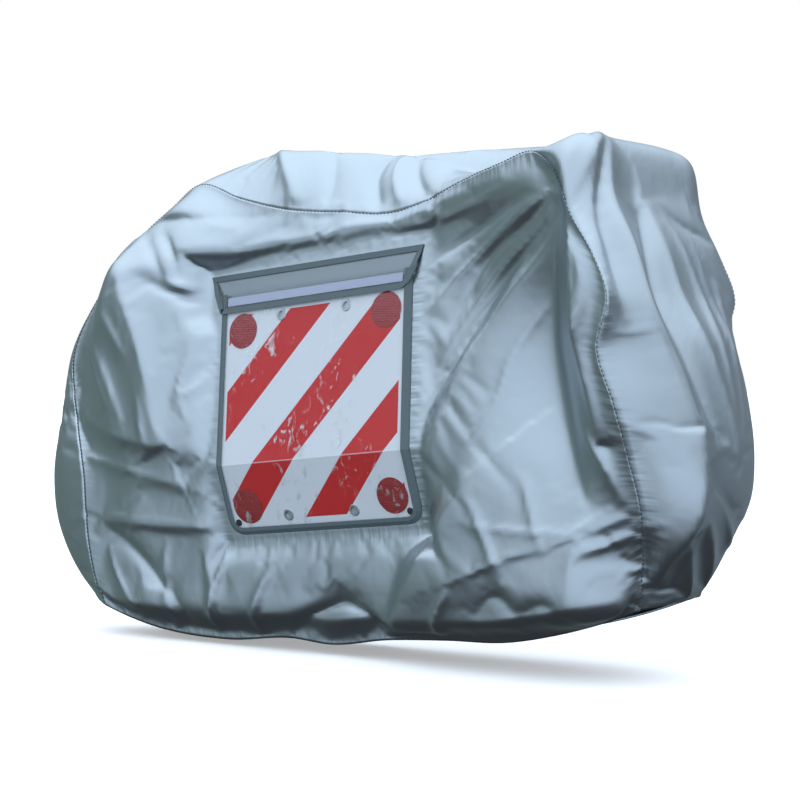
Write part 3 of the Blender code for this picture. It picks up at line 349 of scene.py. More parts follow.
def fold_heights(folds, a, b):
    """The sum of the folds at the places (a, b). Each is height * exp(-(d / width)^round), with
    d the distance to its path and the width that of the side of the path, and it dies out
    towards the path's two ends."""
    total = np.zeros_like(a)
    for left, right, height, crest, path in folds:
        line = through([(*point, 0.0) for point in path], np.linspace(0, 1, FOLD_STEPS + 1))[:, :2]
        low, high = line.min(0) - FOLD_REACH * max(left, right), line.max(0) + FOLD_REACH * max(left, right)
        near = (a > low[0]) & (a < high[0]) & (b > low[1]) & (b < high[1])
        place = np.stack([a[near], b[near]], -1)[:, None]
        start, step = line[:-1], np.diff(line, axis=0)
        away = place - start
        f = np.clip((away * step).sum(-1) / (step**2).sum(-1), 0, 1)
        rest = away - f[..., None] * step
        distance = np.linalg.norm(rest, axis=-1)
        nearest = distance.argmin(-1)
        row = np.arange(len(nearest))
        along = (nearest + f[row, nearest]) / FOLD_STEPS
        side = step[nearest, 0] * rest[row, nearest, 1] - step[nearest, 1] * rest[row, nearest, 0]
        width = np.where(side > 0, left, right)
        ends = FOLD_END + (1 - FOLD_END) * np.sin(np.pi * np.clip(along, 0, 1)) ** FOLD_TAPER
        total[near] += height * ends * np.exp(-((distance.min(-1) / width) ** crest))
    return total


def grid_normals(points, outward):
    """Unit normals of a grid of points, turned to the side that `outward` names."""
    across, up = np.gradient(points, axis=1), np.gradient(points, axis=0)
    normals = np.cross(across, up)
    normals /= np.maximum(np.linalg.norm(normals, axis=-1, keepdims=True), 1e-12)
    turn = np.sign((normals * outward).sum(-1, keepdims=True))
    turn[turn == 0] = 1
    return normals * turn


def softened(field, rounds=2):
    """A grid of directions averaged with its neighbours, its rim kept."""
    field = field.copy()
    for _ in range(rounds):
        beside = field[1:-1, :-2] + field[1:-1, 2:]
        above = field[:-2, 1:-1] + field[2:, 1:-1]
        field[1:-1, 1:-1] = (beside + above + 2 * field[1:-1, 1:-1]) / 6
    return field / np.maximum(np.linalg.norm(field, axis=-1, keepdims=True), 1e-12)


def strip_sections(cells):
    """The strip's table read at even steps from hem to corner to corner to hem."""
    rows = np.array(STRIP)
    rows = np.column_stack([rows[:, 0], rows[:, 2], rows[:, 1], rows[:, 3:]])
    along, up = cells
    shares = chord_lengths(rows) / chord_lengths(rows)[-1]
    rear = np.linspace(0, shares[REAR_CORNER], up + 1)
    top = np.linspace(shares[REAR_CORNER], shares[FRONT_CORNER], along + 1)
    front = np.linspace(shares[FRONT_CORNER], 1, up + 1)
    return through(rows, np.concatenate([rear[:-1], top[:-1], front]))


def strip_surface(sections, across):
    """The gusset: each section arches from the near seam to the far seam through the middle of
    its row, as one minus a power of the share across, with a tent over each grip."""
    q = np.linspace(-1, 1, across + 1)[:, None, None]
    near = sections[:, [0, 1, 2]]
    far = sections[:, [0, 3, 2]]
    middle = sections[:, [4, 5, 6]]
    square = sections[:, 7][None, :, None]
    chord = near * (1 - q) / 2 + far * (1 + q) / 2
    points = chord + (middle - (near + far) / 2) * (1 - np.abs(q) ** square)
    normals = softened(grid_normals(points, points - INSIDE))
    along, side = np.broadcast_arrays(chord_lengths(near)[None, :], q[..., 0])
    folds = fold_heights(STRIP_FOLDS, along, side * STRIP_HALF)
    rim = smooth_step((1 - np.abs(side)) / STRIP_RIM) * smooth_step(along / STRIP_HEM_RIM)
    points = points + normals * (folds * rim)[..., None]
    for x, y, z, reach, rise in GRIPS:
        distance = np.linalg.norm(points - (x, y, z), axis=-1)
        pull = np.clip(1 - distance / reach, 0, 1) ** 2
        pull[0], pull[-1] = 0, 0
        points = points + (pull * rise)[..., None] * GRIP_PULL * (1, math.copysign(1, y), 1)
    return points


def side_surface(cells, sections, near):
    """A side panel: the surface spanned between its hem, top, rear and front edges, brought out
    to the stand-off of its table away from them, folded, and laid flat behind the pocket."""
    along, up = cells
    sign = -1 if near else 1
    seam = sections[:, [0, 1 if near else 3, 2]]
    rear, top, front = seam[: up + 1], seam[up : up + along + 1], seam[up + along :][::-1]
    hem = np.array(HEM)
    if near:
        hem[:, 1] *= -1
    else:
        hem[:, 1] = np.interp(hem[:, 0], [rear[0, 0], front[0, 0]], [rear[0, 1], front[0, 1]])
    hem = through(hem, np.linspace(0, 1, along + 1))
    hem[0], hem[-1] = rear[0], front[0]
    u = np.linspace(0, 1, along + 1)[None, :, None]
    v = np.linspace(0, 1, up + 1)[:, None, None]
    upright = (1 - v) * hem + v * top
    level = (1 - u) * rear[:, None] + u * front[:, None]
    corners = (1 - v) * ((1 - u) * hem[0] + u * hem[-1]) + v * ((1 - u) * top[0] + u * top[-1])
    points = upright + level - corners
    u, v = u[..., 0], v[..., 0]
    x, z = points[..., 0], points[..., 2]
    free = smooth_step(u / REAR_FADE) * smooth_step((1 - u) / FRONT_FADE)
    free = free * smooth_step(v / HEM_FADE) * smooth_step((1 - v) / TOP_FADE)
    target = table_at(SIDE if near else FAR_SIDE, SIDE_HEIGHTS, x, z)
    points[..., 1] += free * (sign * target - points[..., 1])
    normals = softened(grid_normals(points, np.array([0, sign, 0])))
    rim = smooth_step(np.minimum(u, 1 - u) / FOLD_FADE) * smooth_step(np.minimum(v, 1 - v) / FOLD_FADE)
    if not near:
        return points + normals * (fold_heights(FAR_FOLDS, x, z) * rim)[..., None]
    flat, mask, bare = pocket_zone(x, z)
    folds = fold_heights(SIDE_FOLDS, x, z) * rim * bare
    points = points + normals * folds[..., None]
    level = points[..., 1] + (flat - points[..., 1]) * np.maximum(mask * (1 - bare), mask**2)
    points[..., 1] += rim * (level - points[..., 1])
    return points


def pocket_zone(x, z):
    """The y of the pocket's plane at x and height, how far the cloth is held to it (1 behind
    the pocket, fading to 0 over FLAT_FADE outside it), and how far folds may run in there (0
    behind the pocket, growing to 1 over FOLDS_NEAR outside it)."""
    flat, u, v = plate_depth(x, z)
    over = BINDING + (FLAP_OVER - BINDING) * smooth_step((v - FLAP_FROM) / FLAP_GROWTH)
    sides = np.minimum(u + over, PLATE + over - u)
    inside = np.minimum.reduce([sides, v + BINDING, FLAP_TOP - v]) + FLAT_ROUND
    return flat, smooth_step(1 + inside / FLAT_FADE), smooth_step(-inside / FOLDS_NEAR)


def number_grids(grids):
    """One list of points for the strip and the two sides that share their seams' points."""
    along, up = COARSE
    count = grids["strip"].shape[0] * grids["strip"].shape[1]
    numbers = {"strip": np.arange(count).reshape(grids["strip"].shape[:2])}
    points = [grids["strip"].reshape(-1, 3)]
    for name, row in (("near", 0), ("far", -1)):
        number = np.full(grids[name].shape[:2], -1)
        seam = numbers["strip"][row]
        number[:, 0], number[-1] = seam[: up + 1], seam[up : up + along + 1]
        number[:, -1] = seam[up + along :][::-1]
        free = number < 0
        number[free] = count + np.arange(free.sum())
        count += free.sum()
        points.append(grids[name][free])
        numbers[name] = number
    return np.concatenate(points), numbers


def grid_faces(number):
    """The quads of a grid of point numbers."""
    corners = [number[:-1, :-1], number[:-1, 1:], number[1:, 1:], number[1:, :-1]]
    return np.stack(corners, -1).reshape(-1, 4)


def settled(grids):
    """The whole cover after a short cloth simulation: the cloth is made longer by SLACK, a soft
    pull holds it near its goal shape, and its hem and the cloth behind the pocket are held."""
    points, numbers = number_grids(grids)
    mesh = bpy.data.meshes.new("cloth_goal")
    faces = np.concatenate([grid_faces(number) for number in numbers.values()])
    mesh.from_pydata(points.tolist(), [], faces.tolist())
    cloth = bpy.data.objects.new("cloth_goal", mesh)
    bpy.context.scene.collection.objects.link(cloth)
    hold = np.full(len(points), LOOSE)
    _, _, bare = pocket_zone(grids["near"][..., 0], grids["near"][..., 2])
    hold[numbers["near"]] = np.where(bare < HELD, 1.0, LOOSE + FIRM * (1 - bare) ** 2)
    for edge in (numbers["near"][0], numbers["far"][0], numbers["strip"][:, 0], numbers["strip"][:, -1]):
        hold[edge] = 1
    group = cloth.vertex_groups.new(name="hold")
    steps = np.round(hold * HOLD_STEPS).astype(int)
    for step in np.unique(steps):
        group.add(np.nonzero(steps == step)[0].tolist(), step / HOLD_STEPS, "REPLACE")
    modifier = cloth.modifiers.new("Settle", "CLOTH")
    settings = modifier.settings
    settings.quality = 5
    settings.mass = 0.15
    settings.tension_stiffness = settings.compression_stiffness = 30
    settings.shear_stiffness = 10
    settings.bending_stiffness = 0.8
    settings.tension_damping = settings.compression_damping = settings.shear_damping = 5
    settings.bending_damping = 0.5
    settings.air_damping = 2
    settings.vertex_group_mass = "hold"
    settings.pin_stiffness = 1
    settings.shrink_min = -SLACK
    settings.effector_weights.gravity = 0.1
    modifier.collision_settings.use_collision = False
    modifier.point_cache.frame_start, modifier.point_cache.frame_end = 1, SETTLE_FRAMES
    for step in range(1, SETTLE_FRAMES + 1):
        bpy.context.scene.frame_set(step)
    shape = cloth.evaluated_get(bpy.context.evaluated_depsgraph_get()).data
    moved = np.empty(len(points) * 3)
    shape.vertices.foreach_get("co", moved)
    bpy.context.scene.frame_set(1)
    bpy.data.objects.remove(cloth)
    moved = moved.reshape(-1, 3)
    return {name: moved[number] for name, number in numbers.items()}


def refined(grid, rows, columns):
    """A grid read smoothly at the given places along its rows and columns."""
    by_row = cubic_weights(np.arange(grid.shape[0], dtype=float), rows)
    by_column = cubic_weights(np.arange(grid.shape[1], dtype=float), columns)
    return np.einsum("ri,ijk,cj->rck", by_row, grid, by_column)


def hexed(colour):
    """Linear red, green and blue of an sRGB colour given as hex."""
    levels = [int(colour[i : i + 2], 16) / 255 for i in (0, 2, 4)]
    return tuple(c / 12.92 if c < 0.04045 else ((c + 0.055) / 1.055) ** 2.4 for c in levels)


def add_node(tree, kind, inputs=(), **settings):
    """Adds a shader node. Each input is a value, or the output it is linked to."""
    node = tree.nodes.new("ShaderNode" + kind)
    for key, value in settings.items():
        setattr(node, key, value)
    for key, value in dict(inputs).items():
        if isinstance(value, bpy.types.NodeSocket):
            tree.links.new(value, node.inputs[key])
        else:
            node.inputs[key].default_value = value
    return node


def new_material(name, colour, roughness, metallic=0.0, **inputs):
    """A material of one colour. Further inputs are the shader's, with spaces as underscores."""
    material = bpy.data.materials.new(name)
    material.use_nodes = True
    shader = material.node_tree.nodes["Principled BSDF"]
    shader.inputs["Base Color"].default_value = (*hexed(colour), 1)
    shader.inputs["Roughness"].default_value = roughness
    shader.inputs["Metallic"].default_value = metallic
    for key, value in inputs.items():
        shader.inputs[key.replace("_", " ")].default_value = value
    return material, material.node_tree, shader


TUCKS_PER_METRE = (75.0, 9.0, 1.0)  # along the sewn line, and away from it
TUCK_REACH = 0.055  # how far from the line the tucks run out
CRUMPLE_WARP, CRUMPLE_STRETCH = (0.10, 0.10, 0.10), (1.35, 1.35, 0.75)
CRUMPLES = ((9.0, 1.0), (24.0, 0.28))  # facets per metre, and their share of the depth
CRUMPLE_DEPTH = 0.0015


def taffeta():
    """Silver coated taffeta: a soft metallic mirror that shows each fold by what it faces, with
    fine tucks square to each sewn line and small crumples in patches."""
    material, tree, shader = new_material("silver_taffeta", "b9c4c9", 0.33, 0.96)
    place = add_node(tree, "TexCoord").outputs["Object"]
    tuck = add_node(tree, "Attribute", attribute_name="tuck").outputs["Vector"]
    parts = add_node(tree, "SeparateXYZ", {0: tuck}).outputs
    streak = add_node(tree, "CombineXYZ", {0: parts[0], 1: parts[1]})
    squeezed = add_node(tree, "VectorMath", {0: streak.outputs[0], 1: TUCKS_PER_METRE}, operation="MULTIPLY")
    ripples = add_node(
        tree, "TexNoise", {"Vector": squeezed.outputs[0], "Scale": 1.0, "Detail": 1.5, "Roughness": 0.4},
        noise_dimensions="2D",
    )
    fade = add_node(
        tree, "MapRange", {0: parts[1], 1: 0.0, 2: TUCK_REACH, 3: 1.0, 4: 0.0},
        interpolation_type="SMOOTHERSTEP",
    )
    fade = add_node(tree, "Math", {0: fade.outputs[0], 1: parts[2]}, operation="MULTIPLY")
    ripples = add_node(tree, "Math", {0: ripples.outputs[0], 1: fade.outputs[0]}, operation="MULTIPLY")
    warp = add_node(tree, "TexNoise", {"Vector": place, "Scale": 6.0, "Detail": 2.0}).outputs["Color"]
    warp = add_node(tree, "VectorMath", {0: warp, 1: CRUMPLE_WARP}, operation="MULTIPLY").outputs[0]
    bent = add_node(tree, "VectorMath", {0: place, 1: warp}, operation="ADD").outputs[0]
    bent = add_node(tree, "VectorMath", {0: bent, 1: CRUMPLE_STRETCH}, operation="MULTIPLY").outputs[0]
    crumple = 0.0
    for cells, rise in CRUMPLES:
        facets = add_node(tree, "TexVoronoi", {"Vector": bent, "Scale": cells}, feature="DISTANCE_TO_EDGE")
        crumple = add_node(
            tree, "Math", {0: facets.outputs["Distance"], 1: rise, 2: crumple}, operation="MULTIPLY_ADD"
        ).outputs[0]
    patches = add_node(tree, "TexNoise", {"Vector": place, "Scale": 3.5, "Detail": 1.0}).outputs[0]
    patches = add_node(tree, "MapRange", {0: patches, 1: 0.38, 2: 0.66, 3: 0.15, 4: 1.0}).outputs[0]
    crumple = add_node(tree, "Math", {0: crumple, 1: patches}, operation="MULTIPLY")
    height = add_node(tree, "Math", {0: ripples.outputs[0], 1: crumple.outputs[0]}, operation="ADD")
    bump = add_node(tree, "Bump", {"Strength": 1.0, "Distance": CRUMPLE_DEPTH, "Height": height.outputs[0]})
    tree.links.new(bump.outputs[0], shader.inputs["Normal"])
    return material


# How strongly the cloth is tucked: at a side's hem, top, rear and front edges, at the strip's
# two seams, and at the pocket's left, lower and right seams.
SIDE_TUCKS, STRIP_TUCKS, POCKET_TUCKS = (1.0, 0.8, 0.7, 0.8), (0.6, 0.5), (0.5, 0.9, 1.3)
POCKET_SEAM = 0.014  # from the plate's edge out to the seam of the binding
POCKET_TUCKS_FADE, POCKET_TUCKS_START = 0.05, 0.01  # below the flap's top, and inside the seam
POCKET_RUN = 5  # starts the pocket's tucks at another place of the pattern than the hem's
FAR_OFF = 1.0


def sewn_lines(name, grid):
    """For each point of a panel: how far along the nearest sewn line it lies, how far from it,
    and how strongly the cloth is tucked there."""
    lines = []
    edges = [(grid[0], 0), (grid[-1], 0), (grid[:, 0], 1), (grid[:, -1], 1)]
    for (edge, turned), strength in zip(edges, STRIP_TUCKS if name == "strip" else SIDE_TUCKS):
        run = chord_lengths(edge)
        edge = edge[:, None] if turned else edge[None]
        run = run[:, None] if turned else run[None]
        away = np.linalg.norm(grid - edge, axis=-1)
        lines.append((np.broadcast_to(run, away.shape), away, np.full_like(away, strength)))
    if name == "near":
        _, u, v = plate_depth(grid[..., 0], grid[..., 2])
        over = np.stack([-u, -v, u - PLATE], -1) - POCKET_SEAM
        which = over.argmax(-1)
        run = np.choose(which, [v, u, PLATE - v])
        away = np.maximum(over.max(-1), 0)
        strength = np.choose(which, POCKET_TUCKS) * smooth_step((FLAP_TOP - v) / POCKET_TUCKS_FADE)
        strength = strength * smooth_step(1 + over.max(-1) / POCKET_TUCKS_START)
        away = np.where(v > FLAP_TOP, FAR_OFF, away)
        lines.append((run + POCKET_RUN, away, strength))
    run, away, strength = (np.stack([line[i] for line in lines]) for i in range(3))
    nearest = away.argmin(0)[None]
    return np.stack([np.take_along_axis(part, nearest, 0)[0] for part in (run, away, strength)], -1)


def cloth_sheet(name, grid, outward, tucks, material):
    """A panel as a closed sheet: its outer face is the grid, and its thickness goes inwards."""
    number = np.arange(grid.shape[0] * grid.shape[1]).reshape(grid.shape[:2])
    faces = grid_faces(number)
    if (np.cross(grid[0, 1] - grid[0, 0], grid[1, 0] - grid[0, 0]) * outward).sum() < 0:
        faces = faces[:, ::-1]
    mesh = bpy.data.meshes.new(name)
    points = grid.reshape(-1, 3) - (0, 0, SADDLE_TOP)
    mesh.from_pydata(points.tolist(), [], faces.tolist())
    mesh.shade_smooth()
    attribute = mesh.attributes.new("tuck", "FLOAT_VECTOR", "POINT")
    attribute.data.foreach_set("vector", tucks.astype(np.float32).ravel())
    mesh.materials.append(material)
    thing = bpy.data.objects.new(name, mesh)
    bpy.context.scene.collection.objects.link(thing)
    solid = thing.modifiers.new("Thickness", "SOLIDIFY")
    solid.thickness, solid.offset = CLOTH, -1
    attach(thing, "root")
    return thing


sections = strip_sections(COARSE)
goal = {
    "near": side_surface(COARSE, sections, True),
    "far": side_surface(COARSE, sections, False),
    "strip": strip_surface(sections, COARSE_ACROSS),
}
shapes = settled(goal)
rear, top = np.linspace(0, COARSE[1], FINE[1] + 1), np.linspace(0, COARSE[0], FINE[0] + 1)
stations = np.concatenate([rear[:-1], COARSE[1] + top[:-1], sum(COARSE) + rear])
strip = refined(shapes["strip"], np.linspace(0, COARSE_ACROSS, FINE_ACROSS + 1), stations)
near, far = (refined(shapes[name], rear, top) for name in ("near", "far"))
for side, row in ((near, 0), (far, -1)):
    side[:, 0] = strip[row, : FINE[1] + 1]
    side[-1] = strip[row, FINE[1] : sum(FINE) + 1]
    side[:, -1] = strip[row, sum(FINE) :][::-1]

silver = taffeta()
near_panel = cloth_sheet("near_panel_cloth", near, np.array([0, -1, 0]), sewn_lines("near", near), silver)
far_panel = cloth_sheet("far_panel_cloth", far, np.array([0, 1, 0]), sewn_lines("far", far), silver)
strip_cloth = cloth_sheet("gusset_cloth", strip, strip[0, 0] - INSIDE, sewn_lines("strip", strip), silver)
for thing, node, flat, area in (
    (near_panel, "near_side_panel", (1.75, 1.06), 1.55),
    (far_panel, "far_side_panel", (1.75, 1.06), 1.55),
    (strip_cloth, "gusset_strip", (0.62, 3.45), 1.55),
):
    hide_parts(node)

# The seams' stitches: grey thread, each stitch an elongated bead that lies on the seam.
STITCH, STITCH_STEP, THREAD = 0.0055, 0.0095, 0.0012
BEAD_SIDES, BEAD_SHOULDER = 6, 0.6  # sides of a stitch, and where along its half it is full


def beads(line, upward):
    """A row of stitches along a line of points, lifted a little towards `upward`."""
    run = chord_lengths(line)
    at = np.arange(STITCH_STEP, run[-1] - STITCH_STEP, STITCH_STEP)
    middle, up, ahead = (
        np.stack([np.interp(at + more, run, field[:, i]) for i in range(3)], -1)
        for field, more in ((line, 0.0), (upward, 0.0), (line, STITCH))
    )
    ahead = ahead - middle
    ahead /= np.linalg.norm(ahead, axis=-1, keepdims=True)
    side = np.cross(ahead, up)
    side /= np.linalg.norm(side, axis=-1, keepdims=True)
    up = np.cross(side, ahead)
    around = np.arange(BEAD_SIDES)
    turn = around * 2 * math.pi / BEAD_SIDES
    ring = np.stack([0 * turn, np.cos(turn), np.sin(turn)], -1)
    shoulder = (BEAD_SHOULDER, 0, 0)
    bead = np.concatenate([[(-1, 0, 0)], ring - shoulder, ring + shoulder, [(1, 0, 0)]])
    tip = len(bead) - 1
    bead = bead * (STITCH / 2, THREAD / 2, THREAD / 2)
    axes = np.stack([ahead, side, up], 1)
    points = np.einsum("pi,nij->npj", bead, axes) + (middle + up * THREAD / 4)[:, None]
    rear, rear_next = 1 + around, 1 + (around + 1) % BEAD_SIDES
    front, front_next = rear + BEAD_SIDES, rear_next + BEAD_SIDES
    faces = np.concatenate([
        np.stack([0 * around, rear_next, rear], -1),
        np.stack([rear, rear_next, front_next], -1),
        np.stack([rear, front_next, front], -1),
        np.stack([tip + 0 * around, front, front_next], -1),
    ])
    faces = faces[None] + len(bead) * np.arange(len(at))[:, None, None]
    return points.reshape(-1, 3), faces.reshape(-1, 3)


thread = new_material("grey_thread", "5d666c", 0.6)[0]
outwards = grid_normals(strip, strip - INSIDE)
for name, row in (("near", 0), ("far", -1)):
    points, faces = beads(strip[row], outwards[row])
    mesh = bpy.data.meshes.new(f"{name}_seam_stitches")
    mesh.from_pydata((points - (0, 0, SADDLE_TOP)).tolist(), [], faces.tolist())
    mesh.shade_smooth()
    mesh.materials.append(thread)
    stitches = bpy.data.objects.new(f"{name}_seam_stitches", mesh)
    bpy.context.scene.collection.objects.link(stitches)
    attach(stitches, "root")

# --- The warning plate -------------------------------------------------------------------------
# A white plastic sheet with printed red stripes, in the pocket. It carries four riveted red
# reflectors, four plated eyelets and two black studs.

STRIPE_HALF = 0.057  # half of the middle stripe, measured level
NEXT_STRIPE, NEXT_HALF = 0.244, 0.056  # level place of the stripes beside it, and half of them
CORNER_STRIPE = 0.405  # where the two corners' stripes start
PRINT_MIDDLE, PRINT_HALF = (0.2485, 0.2515), (0.2015, 0.1985)  # of the printed field without its rounding
PRINT_ROUND = 0.035
BEND_LINE, BEND_PALE = 0.0008, 0.35  # half width of the line that the bend shows, and its strength


def striped():
    """White reflective sheet with red stripes at 45 degrees, each a range of |v - u|, printed
    inside a rounded border, and a thin pale line along the bend."""
    material, tree, shader = new_material("white_plate", "d3dade", 0.38)
    place = add_node(tree, "TexCoord").outputs["Object"]
    start = tuple(BEND_MIDDLE - (0, 0, SADDLE_TOP))
    off = add_node(tree, "VectorMath", {0: place, 1: start}, operation="SUBTRACT").outputs[0]

    def maths(operation, a, b=0.0, c=0.0):
        return add_node(tree, "Math", {0: a, 1: b, 2: c}, operation=operation).outputs[0]

    def along(direction):
        dot = add_node(tree, "VectorMath", {0: off, 1: tuple(direction)}, operation="DOT_PRODUCT")
        return dot.outputs["Value"]

    def past(value, centre, half):
        """How far a value lies beyond the range centre - half to centre + half."""
        off_centre = maths("ABSOLUTE", maths("SUBTRACT", value, centre))
        return maths("MAXIMUM", maths("SUBTRACT", off_centre, half), 0.0)

    u = maths("ADD", along(ALONG), PLATE / 2)
    v = maths("SUBTRACT", maths("MAXIMUM", along(UPPER), 0.0), maths("MAXIMUM", along(LOWER), 0.0))
    v = maths("ADD", v, BEND_UP)
    slant = maths("ABSOLUTE", maths("SUBTRACT", v, u))
    middle_stripe = maths("LESS_THAN", slant, STRIPE_HALF)
    next_stripe = maths("COMPARE", slant, NEXT_STRIPE, NEXT_HALF)
    corner_stripe = maths("GREATER_THAN", slant, CORNER_STRIPE)
    red = maths("MAXIMUM", maths("MAXIMUM", middle_stripe, next_stripe), corner_stripe)
    across = past(u, PRINT_MIDDLE[0], PRINT_HALF[0])
    up = past(v, PRINT_MIDDLE[1], PRINT_HALF[1])
    corner = maths("SQRT", maths("ADD", maths("MULTIPLY", across, across), maths("MULTIPLY", up, up)))
    red = maths("MULTIPLY", red, maths("LESS_THAN", corner, PRINT_ROUND))
    white, print_red, pale = ((*hexed(colour), 1) for colour in ("d3dade", "c00c0c", "f4f7f9"))
    painted = add_node(tree, "Mix", {0: red, 6: white, 7: print_red}, data_type="RGBA")
    bend = maths("MULTIPLY", maths("COMPARE", v, BEND_UP, BEND_LINE), BEND_PALE)
    lined = add_node(tree, "Mix", {0: bend, 6: painted.outputs[2], 7: pale}, data_type="RGBA")
    tree.links.new(lined.outputs[2], shader.inputs["Base Color"])
    return material


def give(node, material):
    """Puts a finish on a CAD node that stays as it is."""
    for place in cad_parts[node].material_slots:
        place.material = material


give("warning_plate", striped())

PRISMS_PER_METRE, PRISM_DEPTH = 190.0, 0.0015


def prismatic():
    """Deep red acrylic with small prisms behind a smooth face, drawn twice as coarse as they are."""
    material, tree, shader = new_material("red_acrylic", "8f0a0c", 0.14, IOR=1.49, Coat_Weight=0.6)
    place = add_node(tree, "TexCoord").outputs["Object"]
    prisms = add_node(tree, "TexVoronoi", {"Vector": place, "Scale": PRISMS_PER_METRE, "Randomness": 0.15})
    prisms = prisms.outputs["Distance"]
    bump = add_node(tree, "Bump", {"Strength": 0.8, "Distance": PRISM_DEPTH, "Height": prisms})
    tree.links.new(bump.outputs[0], shader.inputs["Normal"])
    return material


red_acrylic = prismatic()
for number in range(1, 5):
    give(f"reflector_{number}", red_acrylic)
    give(f"eyelet_{number}", new_material("plated_steel", "b8bcc0", 0.22, 1.0)[0])
for number in (1, 2):
    give(f"corner_stud_{number}", new_material("black_plastic", "1c1e20", 0.42)[0])

# --- The pocket --------------------------------------------------------------------------------
# A window of clear film bound with grey tape, closed by a flap of the same film with tape round
# it and a strip of pale hook tape.

FILM_SHOWS, GLINT_SHOWS = 0.014, 0.55  # how much of the film's mirror shows, and how much more shows at its painted glints
# Streaks of the painted glints per metre, and the film's waves per metre and their depth.
GLINTS_PER_METRE, WAVES_PER_METRE, WAVE_DEPTH = 42.0, 16.0, 0.004
RIBS_SCALE, RIB_DEPTH = 160.0, 0.0006  # of the binding tape


def clear_film():
    """Clear film as a faint mirror that lets most light through. In patches, streaks of noise let
    more of its mirror show, as painted glints. Its long soft waves bend what it mirrors."""
    material, tree, shader = new_material("clear_film", "ffffff", 0.10, 1.0)
    place = add_node(tree, "TexCoord").outputs["Object"]
    drawn = add_node(tree, "VectorMath", {0: place, 1: (1.0, 1.0, 0.55)}, operation="MULTIPLY").outputs[0]
    # Painted glints: noise streaks, in patches, that make more of the film's mirror show.
    painted_glints = add_node(
        tree, "TexNoise",
        {"Vector": drawn, "Scale": GLINTS_PER_METRE, "Detail": 3.0, "Roughness": 0.6, "Distortion": 1.6},
    ).outputs[0]
    painted_glints = add_node(tree, "MapRange", {0: painted_glints, 1: 0.58, 2: 0.72, 3: 0.0, 4: GLINT_SHOWS}).outputs[0]
    patches = add_node(tree, "TexNoise", {"Vector": place, "Scale": 7.0, "Detail": 1.0}).outputs[0]
    patches = add_node(tree, "MapRange", {0: patches, 1: 0.47, 2: 0.60}, interpolation_type="SMOOTHSTEP")
    alpha = add_node(
        tree, "Math", {0: painted_glints, 1: patches.outputs[0], 2: FILM_SHOWS}, operation="MULTIPLY_ADD"
    )
    tree.links.new(alpha.outputs[0], shader.inputs["Alpha"])
    waves = add_node(tree, "TexNoise", {"Vector": drawn, "Scale": WAVES_PER_METRE, "Detail": 2.0}).outputs[0]
    bump = add_node(tree, "Bump", {"Strength": 1.0, "Distance": WAVE_DEPTH, "Height": waves})
    tree.links.new(bump.outputs[0], shader.inputs["Normal"])
    return material


def grosgrain():
    """Grey binding tape with fine ribs, drawn twice as coarse as they are."""
    material, tree, shader = new_material("grey_tape", "5f6d70", 0.7)
    place = add_node(tree, "TexCoord").outputs["Object"]
    ribs = add_node(
        tree, "TexWave", {"Vector": place, "Scale": RIBS_SCALE, "Distortion": 1.0}, bands_direction="DIAGONAL"
    )
    bump = add_node(tree, "Bump", {"Strength": 0.6, "Distance": RIB_DEPTH, "Height": ribs.outputs[0]})
    tree.links.new(bump.outputs[0], shader.inputs["Normal"])
    return material


give("pocket_window", clear_film())
give("pocket_flap", new_material("flap_film", "8b9599", 0.22, 0.0, Alpha=0.20)[0])
grey_tape = grosgrain()
for node in ("pocket_binding", "flap_binding"):
    give(node, grey_tape)
give("fastening_strip", new_material("hook_tape", "dfe6ff", 0.75)[0])

# --- Floor, light and camera -------------------------------------------------------------------
# A plain pale floor and background, a bright ceiling, a darker floor side that the cloth
# mirrors, and one large soft lamp for the plate and the tapes.

FLOOR_HALF, FLOOR_BELOW = 30, 0.012  # the floor's half size, and its distance under the hem
DOME_RADIUS, DOME_ROWS, DOME_COLUMNS = 28, 25, 49

floor_mesh = bpy.data.meshes.new("floor")
corners = [(x * FLOOR_HALF, y * FLOOR_HALF, 0) for x, y in ((-1, -1), (1, -1), (1, 1), (-1, 1))]
floor_mesh.from_pydata(corners, [], [(0, 1, 2, 3)])
floor = bpy.data.objects.new("floor", floor_mesh)
floor.location.z = -SADDLE_TOP - FLOOR_BELOW
bpy.context.scene.collection.objects.link(floor)
pale_floor = new_material("pale_floor", "ffffff", 0.9, Emission_Color=(1, 1, 1, 1), Emission_Strength=0.35)[0]
floor_mesh.materials.append(pale_floor)
floor.visible_glossy = floor.visible_diffuse = False
dome_mesh = bpy.data.meshes.new("backdrop")
turns, lifts = np.linspace(0, 2 * math.pi, DOME_COLUMNS), np.linspace(-math.pi / 2, math.pi / 2, DOME_ROWS)
turn, lift = np.meshgrid(turns, lifts)
dome = DOME_RADIUS * np.stack([np.cos(turn) * np.cos(lift), np.sin(turn) * np.cos(lift), np.sin(lift)], -1)
dome_faces = grid_faces(np.arange(turn.size).reshape(turn.shape))
dome_mesh.from_pydata(dome.reshape(-1, 3).tolist(), [], dome_faces.tolist())
backdrop = bpy.data.objects.new("backdrop", dome_mesh)
bpy.context.scene.collection.objects.link(backdrop)
white, white_tree, _ = new_material("backdrop_white", "ffffff", 1.0)
glow = add_node(white_tree, "Emission", {"Color": (1, 1, 1, 1), "Strength": 1.0})
white_tree.links.new(glow.outputs[0], white_tree.nodes["Material Output"].inputs["Surface"])
dome_mesh.materials.append(white)
for ray in ("diffuse", "glossy", "transmission", "shadow", "volume_scatter"):
    setattr(backdrop, f"visible_{ray}", False)

world = bpy.data.worlds.new("studio")
bpy.context.scene.world = world
world.use_nodes = True
sky = world.node_tree
way = add_node(sky, "TexCoord").outputs["Generated"]


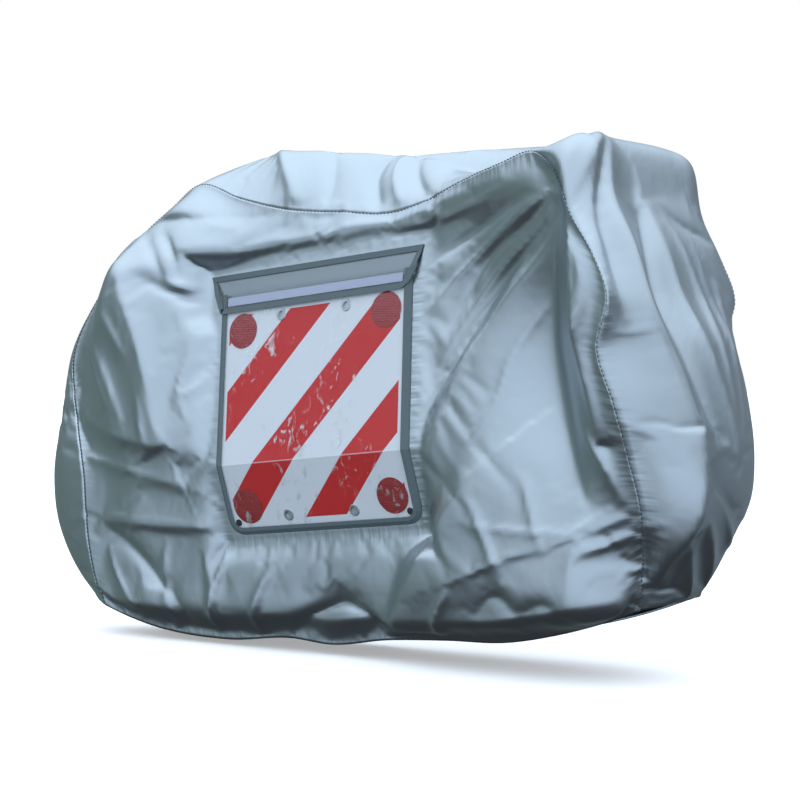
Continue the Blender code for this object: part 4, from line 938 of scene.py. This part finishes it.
def facing(direction):
    """How far the way seen points in a direction, from -1 to 1."""
    return add_node(sky, "VectorMath", {0: way, 1: direction}, operation="DOT_PRODUCT").outputs["Value"]


def lit(value, low, high, dark, bright):
    """A colour that turns from dark to bright between two values."""
    share = add_node(sky, "MapRange", {0: value, 1: low, 2: high}, interpolation_type="SMOOTHSTEP")
    return add_node(sky, "Mix", {0: share.outputs[0], 6: dark, 7: bright}, data_type="RGBA").outputs[2]


floor_side = lit(facing((0.71, -0.71, 0.0)), -0.5, 0.9, (0.165, 0.22, 0.212, 1), (0.83, 0.96, 1.15, 1))
floor_side = lit(facing((0.5, 0.87, 0.0)), 0.0, 0.9, floor_side, (0.20, 0.235, 0.27, 1))
floor_side = lit(facing((0.0, 0.0, -1.0)), 0.25, 0.75, floor_side, (0.045, 0.048, 0.052, 1))
ceiling = lit(facing((0.0, 0.0, 1.0)), 0.3, 0.9, (0.90, 1.03, 1.21, 1), (1.35, 1.52, 1.75, 1))
seen = lit(facing((0.10, -0.12, 1.0)), 0.10, 0.42, floor_side, ceiling)
sky.links.new(seen, sky.nodes["Background"].inputs["Color"])
sky.nodes["Background"].inputs["Strength"].default_value = 1.0


def placed(name, data, place, target):
    """A lamp or camera at a place, turned to look at the target."""
    thing = bpy.data.objects.new(name, data)
    thing.location = place
    thing.rotation_euler = (Vector(place) - Vector(target)).to_track_quat("Z", "Y").to_euler()
    bpy.context.scene.collection.objects.link(thing)
    return thing


lamp = bpy.data.lights.new("soft_lamp", "AREA")
lamp.energy, lamp.size = 8, 3.0
soft_lamp = placed("soft_lamp", lamp, (-1.2, -4.2, 1.6), (0.1, 0, -0.55))
soft_lamp.visible_glossy = False

# The camera stands where the plate's corners and bend put the photograph's.
camera_data = bpy.data.cameras.new("camera")
camera_data.lens, camera_data.sensor_width = 92.34, 36
camera = placed("camera", camera_data, (2.640, -3.773, -0.438), (0.19, 0, -0.548))
bpy.context.scene.camera = camera
bpy.context.scene.view_settings.view_transform = "Standard"
